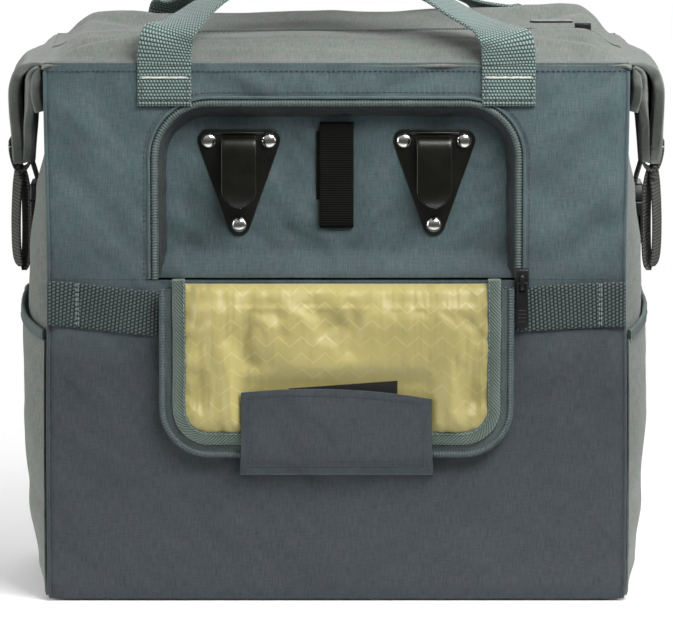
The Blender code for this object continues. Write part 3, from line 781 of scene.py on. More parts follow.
def back_face(x, z):
    """Outer face of the bike-side panel: flat under the band, slack elsewhere."""
    x, z = matched(x, z)
    across = np.abs(x) / HALF_W
    swell = 0.0024 * (1 - across**4) * np.sin(pi * np.clip(z / SEAM_Z, 0, 1)) ** 0.7
    slack = 0.0019 * rough(x, z, 0.062, 3.1) + 0.0007 * rough(x, z, 0.024, 8.4)
    upper = ease(0.200, 0.216, z)
    folds = creases(x, z, [
        (0.0034, (0.174, 0.322), (0.110, 0.252), 0.012),
        (-0.0026, (0.170, 0.300), (0.113, 0.236), 0.009),
        (0.0032, (0.176, 0.268), (0.114, 0.200), 0.011),
        (-0.0022, (0.166, 0.238), (0.128, 0.200), 0.009),
        (0.0030, (-0.172, 0.312), (-0.114, 0.232), 0.013),
        (-0.0024, (-0.152, 0.324), (-0.116, 0.268), 0.010),
        (0.0022, (-0.168, 0.256), (-0.124, 0.204), 0.011),
        (0.0016, (-0.085, 0.326), (-0.020, 0.308), 0.006),
        (-0.0016, (0.075, 0.324), (0.020, 0.309), 0.006),
    ])
    free = 1 - 0.85 * hump(z, 0.182, 0.020)
    patch = 1 - 0.9 * hump(np.abs(x), HANDLE_X, 0.016) * ease(0.292, 0.304, z)
    rim = ease(0, 0.010, panel_half(z) - np.abs(x)) * ease(0, 0.012, z)
    out = swell + (slack * 0.8 + folds * upper) * free * patch
    return BACK_Y - 0.0001 - np.clip(out, -0.0020, 0.0046) * rim + 0.0016 * (1 - rim) ** 2


def front_face(x, z):
    x, z = matched(x, z)
    swell = 0.004 * (1 - (np.abs(x) / HALF_W) ** 3) * np.sin(pi * np.clip(z / WALL_TOP, 0, 1))
    slack = 0.0014 * rough(x, z, 0.070, 5.7) + 0.0005 * rough(x, z, 0.026, 1.2)
    rim = ease(0, 0.012, panel_half(z) - np.abs(x)) * ease(0, 0.012, z)
    patch = 1 - 0.9 * hump(np.abs(x), HANDLE_X, 0.018) * ease(0.285, 0.304, z)
    return FRONT_Y + (swell + slack) * rim * patch * (1 - ease(0.300, 0.322, z) * 0.7) - 0.0015 * (1 - rim)


GUSSET_EDGE = 0.0775
CROWN = 0.0100


def gusset_face(side, y, z):
    """Distance of the gusset from the middle: full below, pulled in at the buckle and the top."""
    y, z = matched(y, z)
    across = np.abs(y) / GUSSET_EDGE
    full = [(0.0, 0.0010), (0.03, 0.0040), (0.13, 0.0060), (0.178, 0.0150), (0.210, 0.0140), (0.245, 0.0095),
            (0.272, 0.0030), (0.292, -0.0035), (WALL_TOP, -0.0045)]
    swell = curve(full, z) * (1 - across**5) * (1.0 if side < 0 else 0.9)
    cinch = 1 - 0.99 * np.exp(-((y / 0.027) ** 4)) * hump(z, 0.212, 0.050) ** 0.5
    slack = 0.0012 * rough(y + side * 0.4, z, 0.045, 2.2) + 0.0005 * rough(y, z + side, 0.018, 6.1)
    quiet = (1 - across**6) * (1 - 0.95 * np.exp(-((y / 0.024) ** 4)) * hump(z, 0.205, 0.06))
    limit = panel_half(z) - 0.0006
    return limit + swell * cinch + slack * quiet - 0.0012 * across**8


def make_walls():
    xs = np.linspace(-1, 1, 141)
    zs = np.concatenate([np.linspace(0.0008, 0.012, 7), np.linspace(0.016, SEAM_Z + 0.0002, 60)])
    u, z = grid_of(xs, zs)
    x = u * panel_half(z)
    finish(skin("bag_back_lower", spots(x, back_face(x, z), z), CLOTH), "blue", "root", "back_panel_lower")
    make_upper_panel()
    x = u * panel_half(z * WALL_TOP / SEAM_Z)
    tall = z * WALL_TOP / SEAM_Z
    front = skin("bag_front", spots(x, front_face(x, tall), tall), CLOTH, flip=True)
    finish(front, "khaki", "root", "front_panel")
    ys = GUSSET_EDGE * np.sin(np.linspace(-pi / 2, pi / 2, 57))
    heights = np.concatenate([np.linspace(0.0008, 0.01, 5), np.linspace(0.014, WALL_TOP, 96)])
    y, z = grid_of(ys, heights)
    for name, side in (("left", -1), ("right", 1)):
        points = spots(side * gusset_face(side, y, z), y, z)
        wall = skin(f"bag_gusset_{name}", points, CLOTH, uv=(1, 2), flip=side < 0)
        finish(wall, "khaki", "root", f"gusset_{name}")
    make_bottom()
    make_wall_seams()


def make_upper_panel():
    """The panel round the window, as a ring of rows from the zip to the outer edge."""
    low, turn = SEAM_Z + 0.0004, 0.292
    inner = arch(0.0, low, arc=16, leg=30, across=30)
    outer = [(panel_half(z), z) for z in (*np.linspace(low, turn, 31), *np.linspace(turn, WALL_TOP, 9)[1:])]
    corner = np.linspace(panel_half(WALL_TOP), 0.092, 9)[1:]
    outer += [(x, WALL_TOP) for x in (*corner, *np.linspace(0.092, 0, 31)[1:])]
    outer = np.array(outer, float)
    outer = np.vstack([outer, outer[-2::-1] * (-1, 1)])
    shares = np.linspace(0, 1, 26)
    x, z = np.moveaxis(between(inner, outer, shares), -1, 0)
    near = np.exp(-shares[:, None] * 60)
    y = back_face(x, z) * (1 - near) + (BACK_Y - 0.0004) * near
    finish(skin("bag_back_upper", spots(x, y, z)), "blue", "root", "back_panel_upper")


def make_bottom():
    us, vs = np.linspace(-1, 1, 81), np.linspace(-1, 1, 41)
    u, v = grid_of(us, vs)
    x, y = u * (HALF_W - 0.0045), v * (FRONT_Y - 0.0020)
    edge = np.maximum(np.abs(u), np.abs(v))
    z = 0.0004 + 0.0012 * edge**10 + 0.0003 * (rough(x, y, 0.03, 4.4) + 1)
    finish(skin("bag_bottom", spots(x, y, z), CLOTH, uv=(0, 1), flip=True), "khaki", "root", "bottom_panel")


def make_wall_seams():
    """Rows of thread along the top edge, and cords along the seams of the gussets."""
    xs = np.linspace(-0.172, 0.172, 140)
    rows = []
    for z, face, out in ((0.3222, back_face, -1), (0.3222, front_face, 1)):
        keep = np.abs(np.abs(xs) - HANDLE_X) > 0.016
        for part in (xs < -0.0865, np.abs(xs) < 0.0865, xs > 0.0865):
            run = xs[part & keep]
            for piece in np.split(run, np.where(np.diff(run) > 0.01)[0] + 1):
                path = spots(piece, face(piece, z) + out * 0.0001, z)
                rows.append(beads("row", path, (0, out, 0), 0.0031, 0.0022, 0.00055))
    finish(join("top_edge_stitching", rows), "thread", "root")
    zs = np.concatenate([np.linspace(0.0014, 0.012, 10), np.linspace(0.014, 0.322, 115)])
    for key, sy, cloth in (("back", -1, "blue"), ("front", 1, "khaki")):
        cords = []
        for sx in (-1, 1):
            x = sx * (panel_half(zs) - 0.0003)
            path = spots(x, sy * (GUSSET_EDGE + 0.0010), zs)
            cords.append(sweep("cord", path, (sx, sy, 0), round_section(0.0011)))
        finish(join(f"gusset_seam_cord_{key}", cords), cloth, "root")


def round_section(radius, count=10):
    angles = np.linspace(0, 2 * pi, count + 1)[:-1]
    return np.array([(radius * cos(a), radius * sin(a), radius * a) for a in angles])


# Window: zip, gusset of the recess and its panel

def fine_arch(inset, bottom):
    return arch(inset, bottom, leg=24, across=24, arc=16)


def upright(outline, y):
    """An outline (x, z) as points at depth y."""
    return spots(outline[:, 0], y, outline[:, 1])


def arch_path(inset, bottom, y):
    return even(upright(fine_arch(inset, bottom), y), 0.0015)[0]


def zip_coil(name, path, core_path, length, radius, core):
    """A row of teeth across a path, on a smooth core."""
    teeth = beads("coil", path, OUT, 0.0017, length, radius, across=pi / 2, lift=0.2)
    return join(name, [teeth, sweep("core", core_path, OUT, round_section(core, 8))])


def make_window():
    low = SEAM_Z + 0.0012
    path = arch_path(-0.0002, low, BACK_Y - 0.0008)
    path[:, 1] -= 0.0003 * rough(path[:, 0], path[:, 2], 0.02, 7.7)
    finish(sweep("window_edge_roll", path, OUT, round_section(0.0009, 12)), "blue", "root")
    tape, coil, core = (arch_path(0.0030, low, BACK_Y + y) for y in (0.0016, -0.0006, 0.0001))
    finish(strap("window_zip_tape", tape, OUT, 0.0052, 0.0006), "tape", "root", "body_zip_chain")
    finish(zip_coil("window_zip_coil", coil, core, 0.0040, 0.00066, 0.0013), "coil", "root")
    path = arch_path(-0.0032, SEAM_Z + 0.004, BACK_Y)
    path[:, 1] = back_face(path[:, 0], path[:, 2]) - 0.00005
    finish(beads("window_stitching", path, OUT, 0.0032, 0.0023, 0.00028), "dark_thread", "root")
    make_recess()


def make_recess():
    """Slack gusset between the zip and the sunk panel, which curves forward to the fold."""
    low = SEAM_Z + 0.0012
    depth = np.linspace(0, 1, 14)
    grid = np.array([
        arch(0.0052 + 0.0045 * t, low, WINDOW_TOP - 0.0030 * t, leg=40, across=44, arc=16) for t in depth
    ])
    x, z = grid[..., 0], grid[..., 1]
    along = measure(spots(x[0], z[0]))[None, :]
    t = depth[:, None] * np.ones_like(x)
    pucker = 0.0017 * rough(along, t * 0.012, 0.011, 9.3) * np.sin(pi * t)
    pucker = pucker + 0.0010 * rough(along, t * 0.02, 0.005, 3.3) * np.sin(pi * t)
    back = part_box("recess_panel")[0].y - 0.0006
    y = BACK_Y + 0.0018 + (back - BACK_Y - 0.0018) * t**0.8 + pucker * 0.6
    above = z > WINDOW_TOP - WINDOW_RADIUS
    points = spots(x + pucker * ~above * np.sign(x), y, z + pucker * above)
    coords = spots(along * np.ones_like(x), t * 0.02)
    finish(skin("recess_gusset_cloth", points, 0.0008, uv=coords), "recess_side", "root", "recess_gusset")
    xs, zs = np.linspace(-0.1085, 0.1085, 110), np.linspace(0.1968, 0.3025, 60)
    x, z = grid_of(xs, zs)
    lean = 1 - ease(0.1965, 0.2150, z)
    slack = 0.0018 * rough(x, z, 0.040, 12.5) + 0.0008 * rough(x, z, 0.016, 2.9)
    flat = np.zeros_like(x)
    for x0 in (-HOOK_X, HOOK_X):
        flat = np.maximum(flat, hump(x, x0, 0.020) * ease(0.212, 0.224, z))
    flat = np.maximum(flat, hump(x, 0, 0.013) * ease(0.220, 0.228, z))
    folds = creases(x, z, [
        (0.0020, (0.080, 0.262), (0.104, 0.282), 0.005),
        (0.0018, (-0.012, 0.250), (-0.030, 0.222), 0.006),
        (0.0018, (0.086, 0.238), (0.100, 0.206), 0.006),
        (-0.0014, (-0.092, 0.252), (-0.086, 0.208), 0.006),
    ])
    y = back - 0.0002 - 0.0105 * lean**1.3 - (slack * 0.7 + folds) * (1 - flat) - 0.0010 * (1 - flat)
    y = np.minimum(y, back + 0.0002)
    finish(skin("recess_panel_cloth", spots(x, y, z), 0.0008), "blue", "root", "recess_panel")


# Hooks, their rivets and the centre loop

def hook_outline(x0, radius):
    """Hull of three circles about the rivets."""
    slope = Vector((RIVET_X, RIVET_HIGH - RIVET_LOW)).normalized()
    tilt = Vector((slope.y, -slope.x)).angle(Vector((1, 0)))
    arcs = (
        (x0 + RIVET_X, RIVET_HIGH, -tilt, pi / 2),
        (x0 - RIVET_X, RIVET_HIGH, pi / 2, pi + tilt),
        (x0, RIVET_LOW, pi + tilt, 2 * pi - tilt),
    )
    return [
        (x + radius * cos(a), z + radius * sin(a))
        for x, z, start, end in arcs for a in np.linspace(start, end, 13)
    ]


def make_hooks():
    for name, x0 in (("left", -HOOK_X), ("right", HOOK_X)):
        front, back = -0.0646, -0.0626
        sheet = plate("sheet", hook_outline(x0, 0.0068), "Y", front, back, 0.0006)
        brow = rail([
            (x0 - 0.0150, front + 0.0002, 0.2828), (x0, front - 0.0004, 0.2830),
            (x0 + 0.0150, front + 0.0002, 0.2828),
        ])
        ledge = sweep("ledge", brow, OUT, round_section(0.0012, 12))
        route = rail([
            (x0, -0.0640, 0.2672), (x0, -0.0646, 0.2738), (x0, -0.0664, 0.2784), (x0, -0.0701, 0.2809),
            (x0, -0.0734, 0.2794), (x0, -0.0752, 0.2752), (x0, -0.0757, 0.2660), (x0, -0.0756, 0.2540),
            (x0, -0.0757, 0.2480), (x0, -0.0764, 0.2430), (x0, -0.0776, 0.2393),
        ], 6)
        route = even(route, 0.0011)[0]
        below = np.clip((0.2497 - route[:, 2]) / 0.0104, 0, 0.985)
        wide = np.where(route[:, 1] < -0.072, np.sqrt(1 - below**2), 1.0)
        tongue = sweep("tongue", route, facing(route), section(0.0210, 0.0019, 14, 6), scale=wide)
        hook = join(f"rack_hook_{name}", [sheet, ledge, tongue])
        smooth(hook)
        finish(hook, "hook", "root", f"hook_{name}")
        make_rivets(name, x0, front)


def make_rivets(name, x0, front):
    seat = front - 0.0003
    sign = -1 if x0 < 0 else 1
    places = {
        "outer": (x0 + sign * RIVET_X, RIVET_HIGH),
        "inner": (x0 - sign * RIVET_X, RIVET_HIGH),
        "low": (x0, RIVET_LOW),
    }
    for spot, centre in places.items():
        head = [(0, seat - 0.0030)]
        head += [(0.0046 * sin(a), seat - 0.0006 - 0.0024 * cos(a)) for a in np.linspace(0, pi / 2, 12)[1:]]
        head += [(0.0046, seat - 0.0002), (0.0043, seat), (0.0020, seat)]
        tail = [(0.0020, -0.0577), (0.0035, -0.0577), (0.0030, -0.0563), (0, -0.0563)]
        rivet = turned(f"rivet_{name}_{spot}", head + tail, centre)
        finish(rivet, "nickel", "root", f"hook_rivet_{name}_{spot}")


def make_centre_loop():
    """Two plies of narrow webbing, the front one a little proud and shifted to the side."""
    path = rail([
        (0, -0.0636, 0.2890), (0, -0.0660, 0.2885), (0, -0.0674, 0.2850), (0, -0.0674, 0.2600),
        (0, -0.0675, 0.2320), (0, -0.0664, 0.2268), (0, -0.0648, 0.2266), (0, -0.0640, 0.2300),
    ], 8)
    front = strap("front", path, facing(path), 0.0205, 0.0012, step=0.0012)
    back = rail([(-0.0014, -0.0645, 0.2840), (-0.0014, -0.0655, 0.2700), (-0.0014, -0.0650, 0.2430)])
    rear = strap("rear", back, OUT, 0.0215, 0.0010, step=0.0012)
    finish(join("centre_webbing_loop", [front, rear]), "black_webbing", "centre_loop", "centre_loop")


# Flap: outer ply, quilted pad, binding and zip

def make_flap():
    fold = 2 * FOLD_Z - 0.1962
    outline = hang(arch(0.0150, fold, arc=14, leg=14, across=20))
    inner = spots(np.linspace(outline[0][0], outline[-1][0], len(outline)), outline[0][1])
    x, z = np.moveaxis(between(inner, outline, np.linspace(0, 1, 24)), -1, 0)
    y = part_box("flap_outer")[1].y - 0.0002 + 0.0003 * rough(x, z, 0.03, 1.9)
    finish(skin("flap_outer_cloth", spots(x, y, z), 0.0010), "blue", "flap", "flap_outer")
    make_pad(outline)
    make_binding(fold)
    make_flap_zip()


def make_pad(outline):
    """The padded lining, puffed by cloth simulation, then dented by the hooks and creased."""
    front, back = (upright(outline, y) for y in (FLAP_FRONT + 0.0008, FLAP_BACK - 0.0001))
    pad = prism("flap_pad", front, back, sharp=0.7)
    mod = pad.modifiers.new("even", "REMESH")
    mod.mode = "VOXEL"
    mod.voxel_size = 0.0024
    settle(pad)
    start = np.array([v.co for v in pad.data.vertices])
    puff(pad, start)
    moved = np.array([v.co for v in pad.data.vertices])
    shape_pad(pad, start, moved)
    mod = pad.modifiers.new("smooth", "SUBSURF")
    mod.levels = mod.render_levels = 1
    settle(pad)
    pad.data.shade_smooth()
    finish(pad, "satin", "flap", "flap_lining")
    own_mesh(pad)


def puff(pad, start):
    """Blows the pad up with its rim held, so that the satin swells between the seams."""
    lo, hi = start.min(0), start.max(0)
    group = pad.vertex_groups.new(name="held")
    for v in pad.data.vertices:
        rim = min(v.co.x - lo[0], hi[0] - v.co.x, v.co.z - lo[2])
        if rim < 0.006 or v.co.z > hi[2] - 0.009 or v.co.y > FLAP_BACK - 0.0012:
            group.add([v.index], 1.0, "REPLACE")
    mod = pad.modifiers.new("puff", "CLOTH")
    cloth = mod.settings
    cloth.use_pressure = True
    cloth.uniform_pressure_force = 4.0
    cloth.vertex_group_mass = "held"
    cloth.tension_stiffness = cloth.compression_stiffness = 6.0
    cloth.bending_stiffness = 0.2
    cloth.shrink_min = -0.12
    cloth.effector_weights.gravity = 0.0
    scene = bpy.context.scene
    for step in range(1, 21):
        scene.frame_set(step)
    settle(pad)
    scene.frame_set(1)


def shape_pad(pad, start, moved):
    """Keeps the swelling within its cap and adds the folds that use has left."""
    cap = 0.0055
    step = np.clip(np.nan_to_num(moved - start), -cap, cap) * np.array((0.4, 1.0, 0.4))
    step *= ease(0.193, 0.168, start[:, 2])[:, None]
    co = start + step
    x, z = start[:, 0], start[:, 2]
    face = ease(FLAP_BACK - 0.0012, FLAP_FRONT + 0.0014, start[:, 1])
    lo, hi = start.min(0), start.max(0)
    rim = np.minimum(np.minimum(x - lo[0], hi[0] - x), z - lo[2])
    inside = ease(0.0, 0.014, rim)
    crown = 0.0042 * ease(0, 0.030, rim) * (0.55 + 0.45 * ease(0.13, 0.19, z))
    roll = 0.0022 * hump(z, 0.180, 0.012)
    folds = 0.0015 * rough(x * 2.4, z * 0.8, 0.030, 4.2) + 0.0007 * rough(x * 3.0, z * 1.2, 0.014, 6.6)
    folds = folds + creases(x, z, [
        (-0.0050, (-0.0600, 0.172), (-0.0440, 0.112), 0.0080),
        (-0.0034, (-0.0560, 0.152), (-0.0240, 0.128), 0.0065),
        (0.0026, (-0.0720, 0.182), (-0.0610, 0.104), 0.0050),
        (-0.0030, (-0.0810, 0.178), (-0.0770, 0.098), 0.0036),
        (-0.0026, (-0.0700, 0.156), (-0.0690, 0.096), 0.0030),
        (-0.0036, (0.0590, 0.156), (0.0560, 0.102), 0.0070),
        (-0.0034, (0.0840, 0.190), (0.0790, 0.098), 0.0040),
        (0.0026, (0.0720, 0.176), (0.0690, 0.100), 0.0046),
        (-0.0022, (-0.0380, 0.190), (-0.0300, 0.158), 0.0034),
        (-0.0020, (0.0070, 0.190), (0.0130, 0.164), 0.0030),
        (-0.0016, (-0.0140, 0.192), (-0.0110, 0.172), 0.0026),
    ])
    folds = folds * ease(0.1962, 0.1860, z)
    under_tab = ease(0.0640, 0.0560, np.abs(x)) * ease(0.152, 0.134, z)
    out = (crown + roll + folds) * face * inside
    co[:, 1] -= out * (1 - under_tab)
    turn = np.clip((z - 0.1890) / (hi[2] - 0.1890), 0, 1)
    co[:, 1] += (1 - np.sqrt(1 - 0.96 * turn**2)) * (FLAP_BACK - co[:, 1]) * 0.9
    front_limit = FLAP_FRONT - 0.0092 * (1 - under_tab)
    co[:, 1] = np.clip(co[:, 1], front_limit, FLAP_BACK)
    pad.data.vertices.foreach_set("co", co.astype(np.float32).ravel())


def make_binding(fold):
    """Bias tape folded over the pad's edge."""
    outer, inner = FLAP_FRONT - 0.0010, BACK_Y - 0.0050
    path = even(upright(hang(fine_arch(0.0178, fold - 0.0016)), (outer + inner) / 2), 0.0015)[0]
    path[:, 0] += 0.0004 * rough(measure(path), 0.0, 0.018, 3.8)
    depth, wide = (inner - outer) / 2, 0.0035
    fold_out = [(wide, -depth, 0.0), (wide / 2, -depth - 0.0003, 0.002), (-wide / 2, -depth - 0.0003, 0.006)]
    edge = [
        (-wide - 0.0006 * sin(a), -depth * cos(a), 0.0085 + 0.0015 * a) for a in np.linspace(0.3, pi - 0.3, 6)
    ]
    fold_in = [(-wide / 2, depth + 0.0006, 0.015), (0, depth + 0.0009, 0.017),
               (wide / 2, depth + 0.0007, 0.019), (wide, depth, 0.0215), (wide + 0.0004, depth - 0.0006, 0.022)]
    binding = sweep("flap_binding_tape", path, OUT, np.array(fold_out + edge + fold_in))
    finish(binding, "binding", "flap", "flap_binding")
    inward = unit(spots(-np.gradient(path[:, 2]), 0.0, np.gradient(path[:, 0])))
    stitch = np.array(path)
    stitch[:, 1] = FLAP_FRONT - 0.0022
    rows = beads("binding_stitching", stitch - 0.0030 * inward, OUT, 0.0030, 0.0020, 0.00028)
    finish(rows, "teal_thread", "flap")


def make_flap_zip():
    start = FOLD_Z + 0.0030
    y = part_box("flap_zip_chain")[0].y
    tape = strap("flap_zip_tape", upright(hang(fine_arch(0.0098, start)), y + 0.0014), OUT, 0.0078, 0.0006)
    finish(tape, "tape", "flap", "flap_zip_chain")
    path = even(upright(hang(fine_arch(0.0082, start)), y + 0.0006), 0.0015)[0]
    coil = zip_coil("flap_zip_coil", path, path + np.array((0, 0.0004, 0)), 0.0032, 0.00062, 0.0009)
    finish(coil, "dark_coil", "flap")


def pile_strip(name, body, node, lean=0.0):
    """A strip of hook-and-loop tape with a border and rows of small tufts."""
    low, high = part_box(node)
    x, z = grid_of(np.linspace(low.x, high.x, 60), np.linspace(low.z, high.z, 26))
    border = np.minimum(np.minimum(x - low.x, high.x - x), np.minimum(z - low.z, high.z - z))
    tuft = 0.5 + 0.5 * np.sin(x * 2 * pi / 0.0026) * np.sin(z * 2 * pi / 0.0026)
    y = high.y - 0.0005 - (high.y - low.y - 0.0005) * ease(0, 0.0016, border) * (0.6 + 0.4 * tuft)
    finish(skin(name, spots(x, y, z + lean * x), 0.0005), "pile", body, node)


def make_keeper():
    """The tab: its ply stands off the panel and its top edge is curved and sewn over."""
    half, front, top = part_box("keeper_tab")[1].x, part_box("keeper_tab")[0].y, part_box("keeper_tab")[1].z
    us = np.linspace(-1, 1, 70)
    profile = rail([
        (-0.0812, 0.0778), (-0.0838, 0.0782), (-0.0868, 0.0796), (-0.0906, 0.0832), (-0.0938, 0.0872),
        (-0.0955, 0.0925), (front, 0.1000), (front, 0.1130), (front, top),
    ], 4)
    u, k = grid_of(us, np.arange(len(profile)))
    y, z = profile[k, 0], profile[k, 1]
    x = u * (half - 0.0004 + 0.0010 * hump(z, 0.080, 0.010))
    lift = ease(0.085, top, z)
    crown = (0.0044 - 0.0020 * u - 0.0040 * u**2) * lift
    slack = 0.0006 * rough(x, z, 0.022, 5.5) * lift
    points = spots(x, y - slack - 0.0004 * (1 - u**2) * lift, z + crown)
    finish(skin("keeper_tab_cloth", points, 0.0013, uv=(0, 2)), "blue", "keeper", "keeper_tab")
    outside = points + np.array((0, -0.00015, 0))
    lines = [(outside[3:-3, -2], OUT), *((outside[i, 13:-2], OUT) for i in (3, -4)),
             (outside[3:-3, 13], OUT), (outside[3:-3, 16], (0, -1, -0.2))]
    finish(sewn("keeper_tab_stitching", lines, 0.0026, 0.0019, 0.00026), "thread", "keeper")
    pile_strip("keeper_pile", "keeper", "keeper_hook_strip")
    pile_strip("flap_pile", "flap", "flap_loop_strip", lean=0.07)


# Webbing

def make_band():
    """The luggage band behind the flap, sewn down at each end and standing off between."""
    low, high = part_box("luggage_band")
    z0, width = (low.z + high.z) / 2, high.z - low.z - 0.0006
    xs = np.linspace(low.x + 0.0010, high.x - 0.0010, 200)
    y = (low.y + high.y) / 2 - 0.0001
    stand = 0.0006 * hump(np.abs(xs), 0.118, 0.012)
    dip = 0.0006 * rough(xs, 0.0, 0.04, 2.7)
    droop = (0.0058 - 0.0024 * ease(-0.08, 0.08, xs)) * (1 - ease(0.105, 0.172, np.abs(xs)))
    path = spots(xs, y - stand, z0 + dip - droop)
    band = strap("luggage_webbing", path, OUT, width, high.y - low.y - 0.0002)
    finish(band, "band", "root", "luggage_band")
    reach = width / 2 - 0.002
    lines = [
        (spots(x + lean, low.y - 0.00005, np.linspace(z0 - reach, z0 + reach, 20)), OUT)
        for x in (-0.1560, 0.1575) for lean in (0.0, 0.0012)
    ]
    finish(sewn("band_stitching", lines, 0.0028, 0.0021, 0.00040), "teal_thread", "root")


def make_handles():
    out = FRONT_Y + 0.0014
    left = [(-HANDLE_X, out, 0.3262), (-0.1022, out * 1.002, 0.3330), (-0.1012, out * 0.997, 0.3400),
            (-0.0990, out * 0.955, 0.3455), (-0.0930, 0.0690, 0.3492), (-0.0840, 0.0560, 0.3552),
            (-0.0700, 0.0430, 0.3630), (-0.0450, 0.0300, 0.3700)]
    right = [(0.0380, 0.0290, 0.3690), (0.0600, 0.0400, 0.3610), (0.0780, 0.0560, 0.3520),
             (0.0930, 0.0690, 0.3462), (0.0995, out * 0.955, 0.3425), (0.1015, out * 0.997, 0.3385),
             (0.1022, out * 1.002, 0.3325), (HANDLE_X, out, 0.3262)]
    line = np.array([*left, (0.0, 0.0215, 0.3720), *right])
    ups = np.array([
        (0, 1, 0), (0, 1, 0.08), (0, 1, 0.35), (-0.05, 0.6, 0.8), (-0.2, 0.25, 1), (-0.3, 0.15, 1),
        (-0.3, 0.1, 1), (-0.15, 0.1, 1), (0, 0.1, 1), (0.2, 0.1, 1), (0.35, 0.12, 1), (0.3, 0.15, 1),
        (0.25, 0.3, 1), (0.1, 0.6, 0.8), (0, 1, 0.35), (0, 1, 0.08), (0, 1, 0),
    ])
    for name, sign in (("back", -1), ("front", 1)):
        path, normals = (rail(points * (1, sign, 1), 10) for points in (line, ups))
        handle = strap(f"carry_handle_{name}", path, normals, 0.0322, 0.0021, step=0.0018)
        handle.data.materials.append(MAT["webbing"])
        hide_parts(f"handle_{name}")
        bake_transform(handle)
        make_handle_ends(name, sign)


def make_handle_ends(name, sign):
    """The sewn ends: webbing with a turned edge, a bar of pale thread and a box of stitches."""
    normal = (0, sign, 0)
    for side in ("left", "right"):
        low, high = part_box(f"handle_end_{name}_{side}")
        x0, y = (low.x + high.x) / 2, sign * (FRONT_Y + 0.0014)
        path = spots(x0, y, np.linspace(low.z + 0.0002, high.z + 0.0005, 14))
        end = strap("strap_end", path, normal, 0.0320, 0.0021)
        turn = spots(x0, y + sign * 0.0003, (low.z + 0.0013, low.z + 0.0036))
        hem = strap("hem", turn, normal, 0.0318, 0.0024, step=0.001)
        finish(join(f"handle_root_{name}_{side}", [end, hem]), "webbing", "root", f"handle_end_{name}_{side}")
        face, left, right, top = y + sign * 0.00108, x0 - 0.0135, x0 + 0.0135, 0.3185
        bar = spots(np.linspace(left, right, 40), face, top)
        pale = beads(f"handle_bar_{name}_{side}", bar, normal, 0.00080, 0.0017, 0.00032, across=0.9)
        finish(pale, "pale_thread", "root")
        base = spots(np.linspace(left, right, 12), face + sign * 0.0003, low.z + 0.0042)
        rows = [beads("row", base, normal, 0.0029, 0.0017, 0.00042)]
        for x in (left, right):
            line = spots(x, face, np.linspace(low.z + 0.0045, top, 12))
            rows.append(beads("row", line, normal, 0.0029, 0.0020, 0.00032))
        finish(join(f"handle_sewing_{name}_{side}", rows), "dark_thread", "root")


# Top: two halves, their zip and the folded ends

def top_height(x, y):
    """Top that swells on both sides of its zip, more at the far side, with soft folds at its corners."""
    x, y = matched(x, y)
    across = np.abs(y) / FRONT_Y
    rise = [(-FRONT_Y, 0.0), (-0.066, 0.0068), (-0.038, CROWN + 0.0010), (0, CROWN), (0.046, CROWN + 0.0072),
            (0.068, CROWN + 0.0050), (FRONT_Y, 0.0)]
    crown = curve(rise, y) + 0.0036 * (x / HALF_W) * np.clip(1 - across**4, 0, 1) * ease(-0.03, 0.05, y)
    ends = 1 - ease(0.148, 0.1762, np.abs(x))
    folds = np.zeros_like(x)
    for sx in (-1, 1):
        folds = folds + creases(x, y, [
            (0.0032, (sx * 0.176, -0.071), (sx * 0.085, -0.040), 0.0055),
            (-0.0026, (sx * 0.176, -0.060), (sx * 0.095, -0.026), 0.0050),
            (0.0030, (sx * 0.176, -0.040), (sx * 0.105, -0.012), 0.0060),
            (0.0026, (sx * 0.176, 0.068), (sx * 0.100, 0.030), 0.0070),
            (-0.0020, (sx * 0.176, 0.050), (sx * 0.110, 0.016), 0.0060),
        ])
    calm = 1 - 0.9 * hump(y, 0.0, 0.010)
    slack = 0.0018 * rough(x, y, 0.050, 8.8) + 0.0006 * rough(x, y, 0.018, 2.5)
    crease = -0.0007 * hump(y, -0.046, 0.0016) * (1 - ease(0.08, 0.15, np.abs(x)))
    rim = np.clip(1 - across**8, 0, 1) * (1 - 0.8 * ease(0.160, 0.176, np.abs(x)))
    return WALL_TOP + 0.0006 + (crown * ends + (folds + slack) * calm + crease) * rim


def make_top():
    for name, sign in (("back", -1), ("front", 1)):
        xs = HALF_W * np.sin(np.linspace(-pi / 2, pi / 2, 150)) * 1.004
        ys = np.concatenate([np.linspace(0.0042, 0.074, 34), [0.0765, 0.0785, 0.0797, 0.0803]])
        x, y = grid_of(xs, sign * ys)
        z = top_height(x, y)
        over = ease(0.0765, 0.0803, np.abs(y))
        z = z - 0.0022 * over**2
        end = ease(0.170, 0.1757, np.abs(x))
        z = z - 0.0016 * end**2
        lid = skin(f"top_cloth_{name}", spots(x, y, z), CLOTH, uv=(0, 1), flip=sign < 0)
        finish(lid, "khaki", f"top_{name}", f"top_{name}_panel")
        make_top_zip(name, sign)
    low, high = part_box("top_zip_slider")
    body = block("top_slider_block", low, high, 0.0010)
    wing = 0.0012
    corners = (low.x, low.y - wing, low.z), (high.x, high.y + wing, low.z + wing)
    wings = block("top_slider_wing", *corners, 0.0005)
    finish(join("top_slider", [body, wings]), "plastic", "top_zip_slider", "top_zip_slider")
    low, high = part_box("top_zip_pull")
    tab = tab_outline(high.x, low.x, (low.y + high.y) / 2, (high.y - low.y) / 2)
    finish(plate("top_pull", tab, "Z", low.z, high.z, 0.0003), "plastic", "top_zip_pull", "top_zip_pull")


def tab_outline(root, tip, middle, radius):
    """A tab with a round tip, lying along the first axis."""
    sign = 1 if tip > root else -1
    centre = tip - sign * radius
    points = [(root, middle - radius * 0.75), (centre, middle - radius)]
    round_tip = np.linspace(0, pi, 14)[1:-1]
    points += [(centre + sign * radius * sin(a), middle - radius * cos(a)) for a in round_tip]
    return points + [(centre, middle + radius), (root, middle + radius * 0.75)]


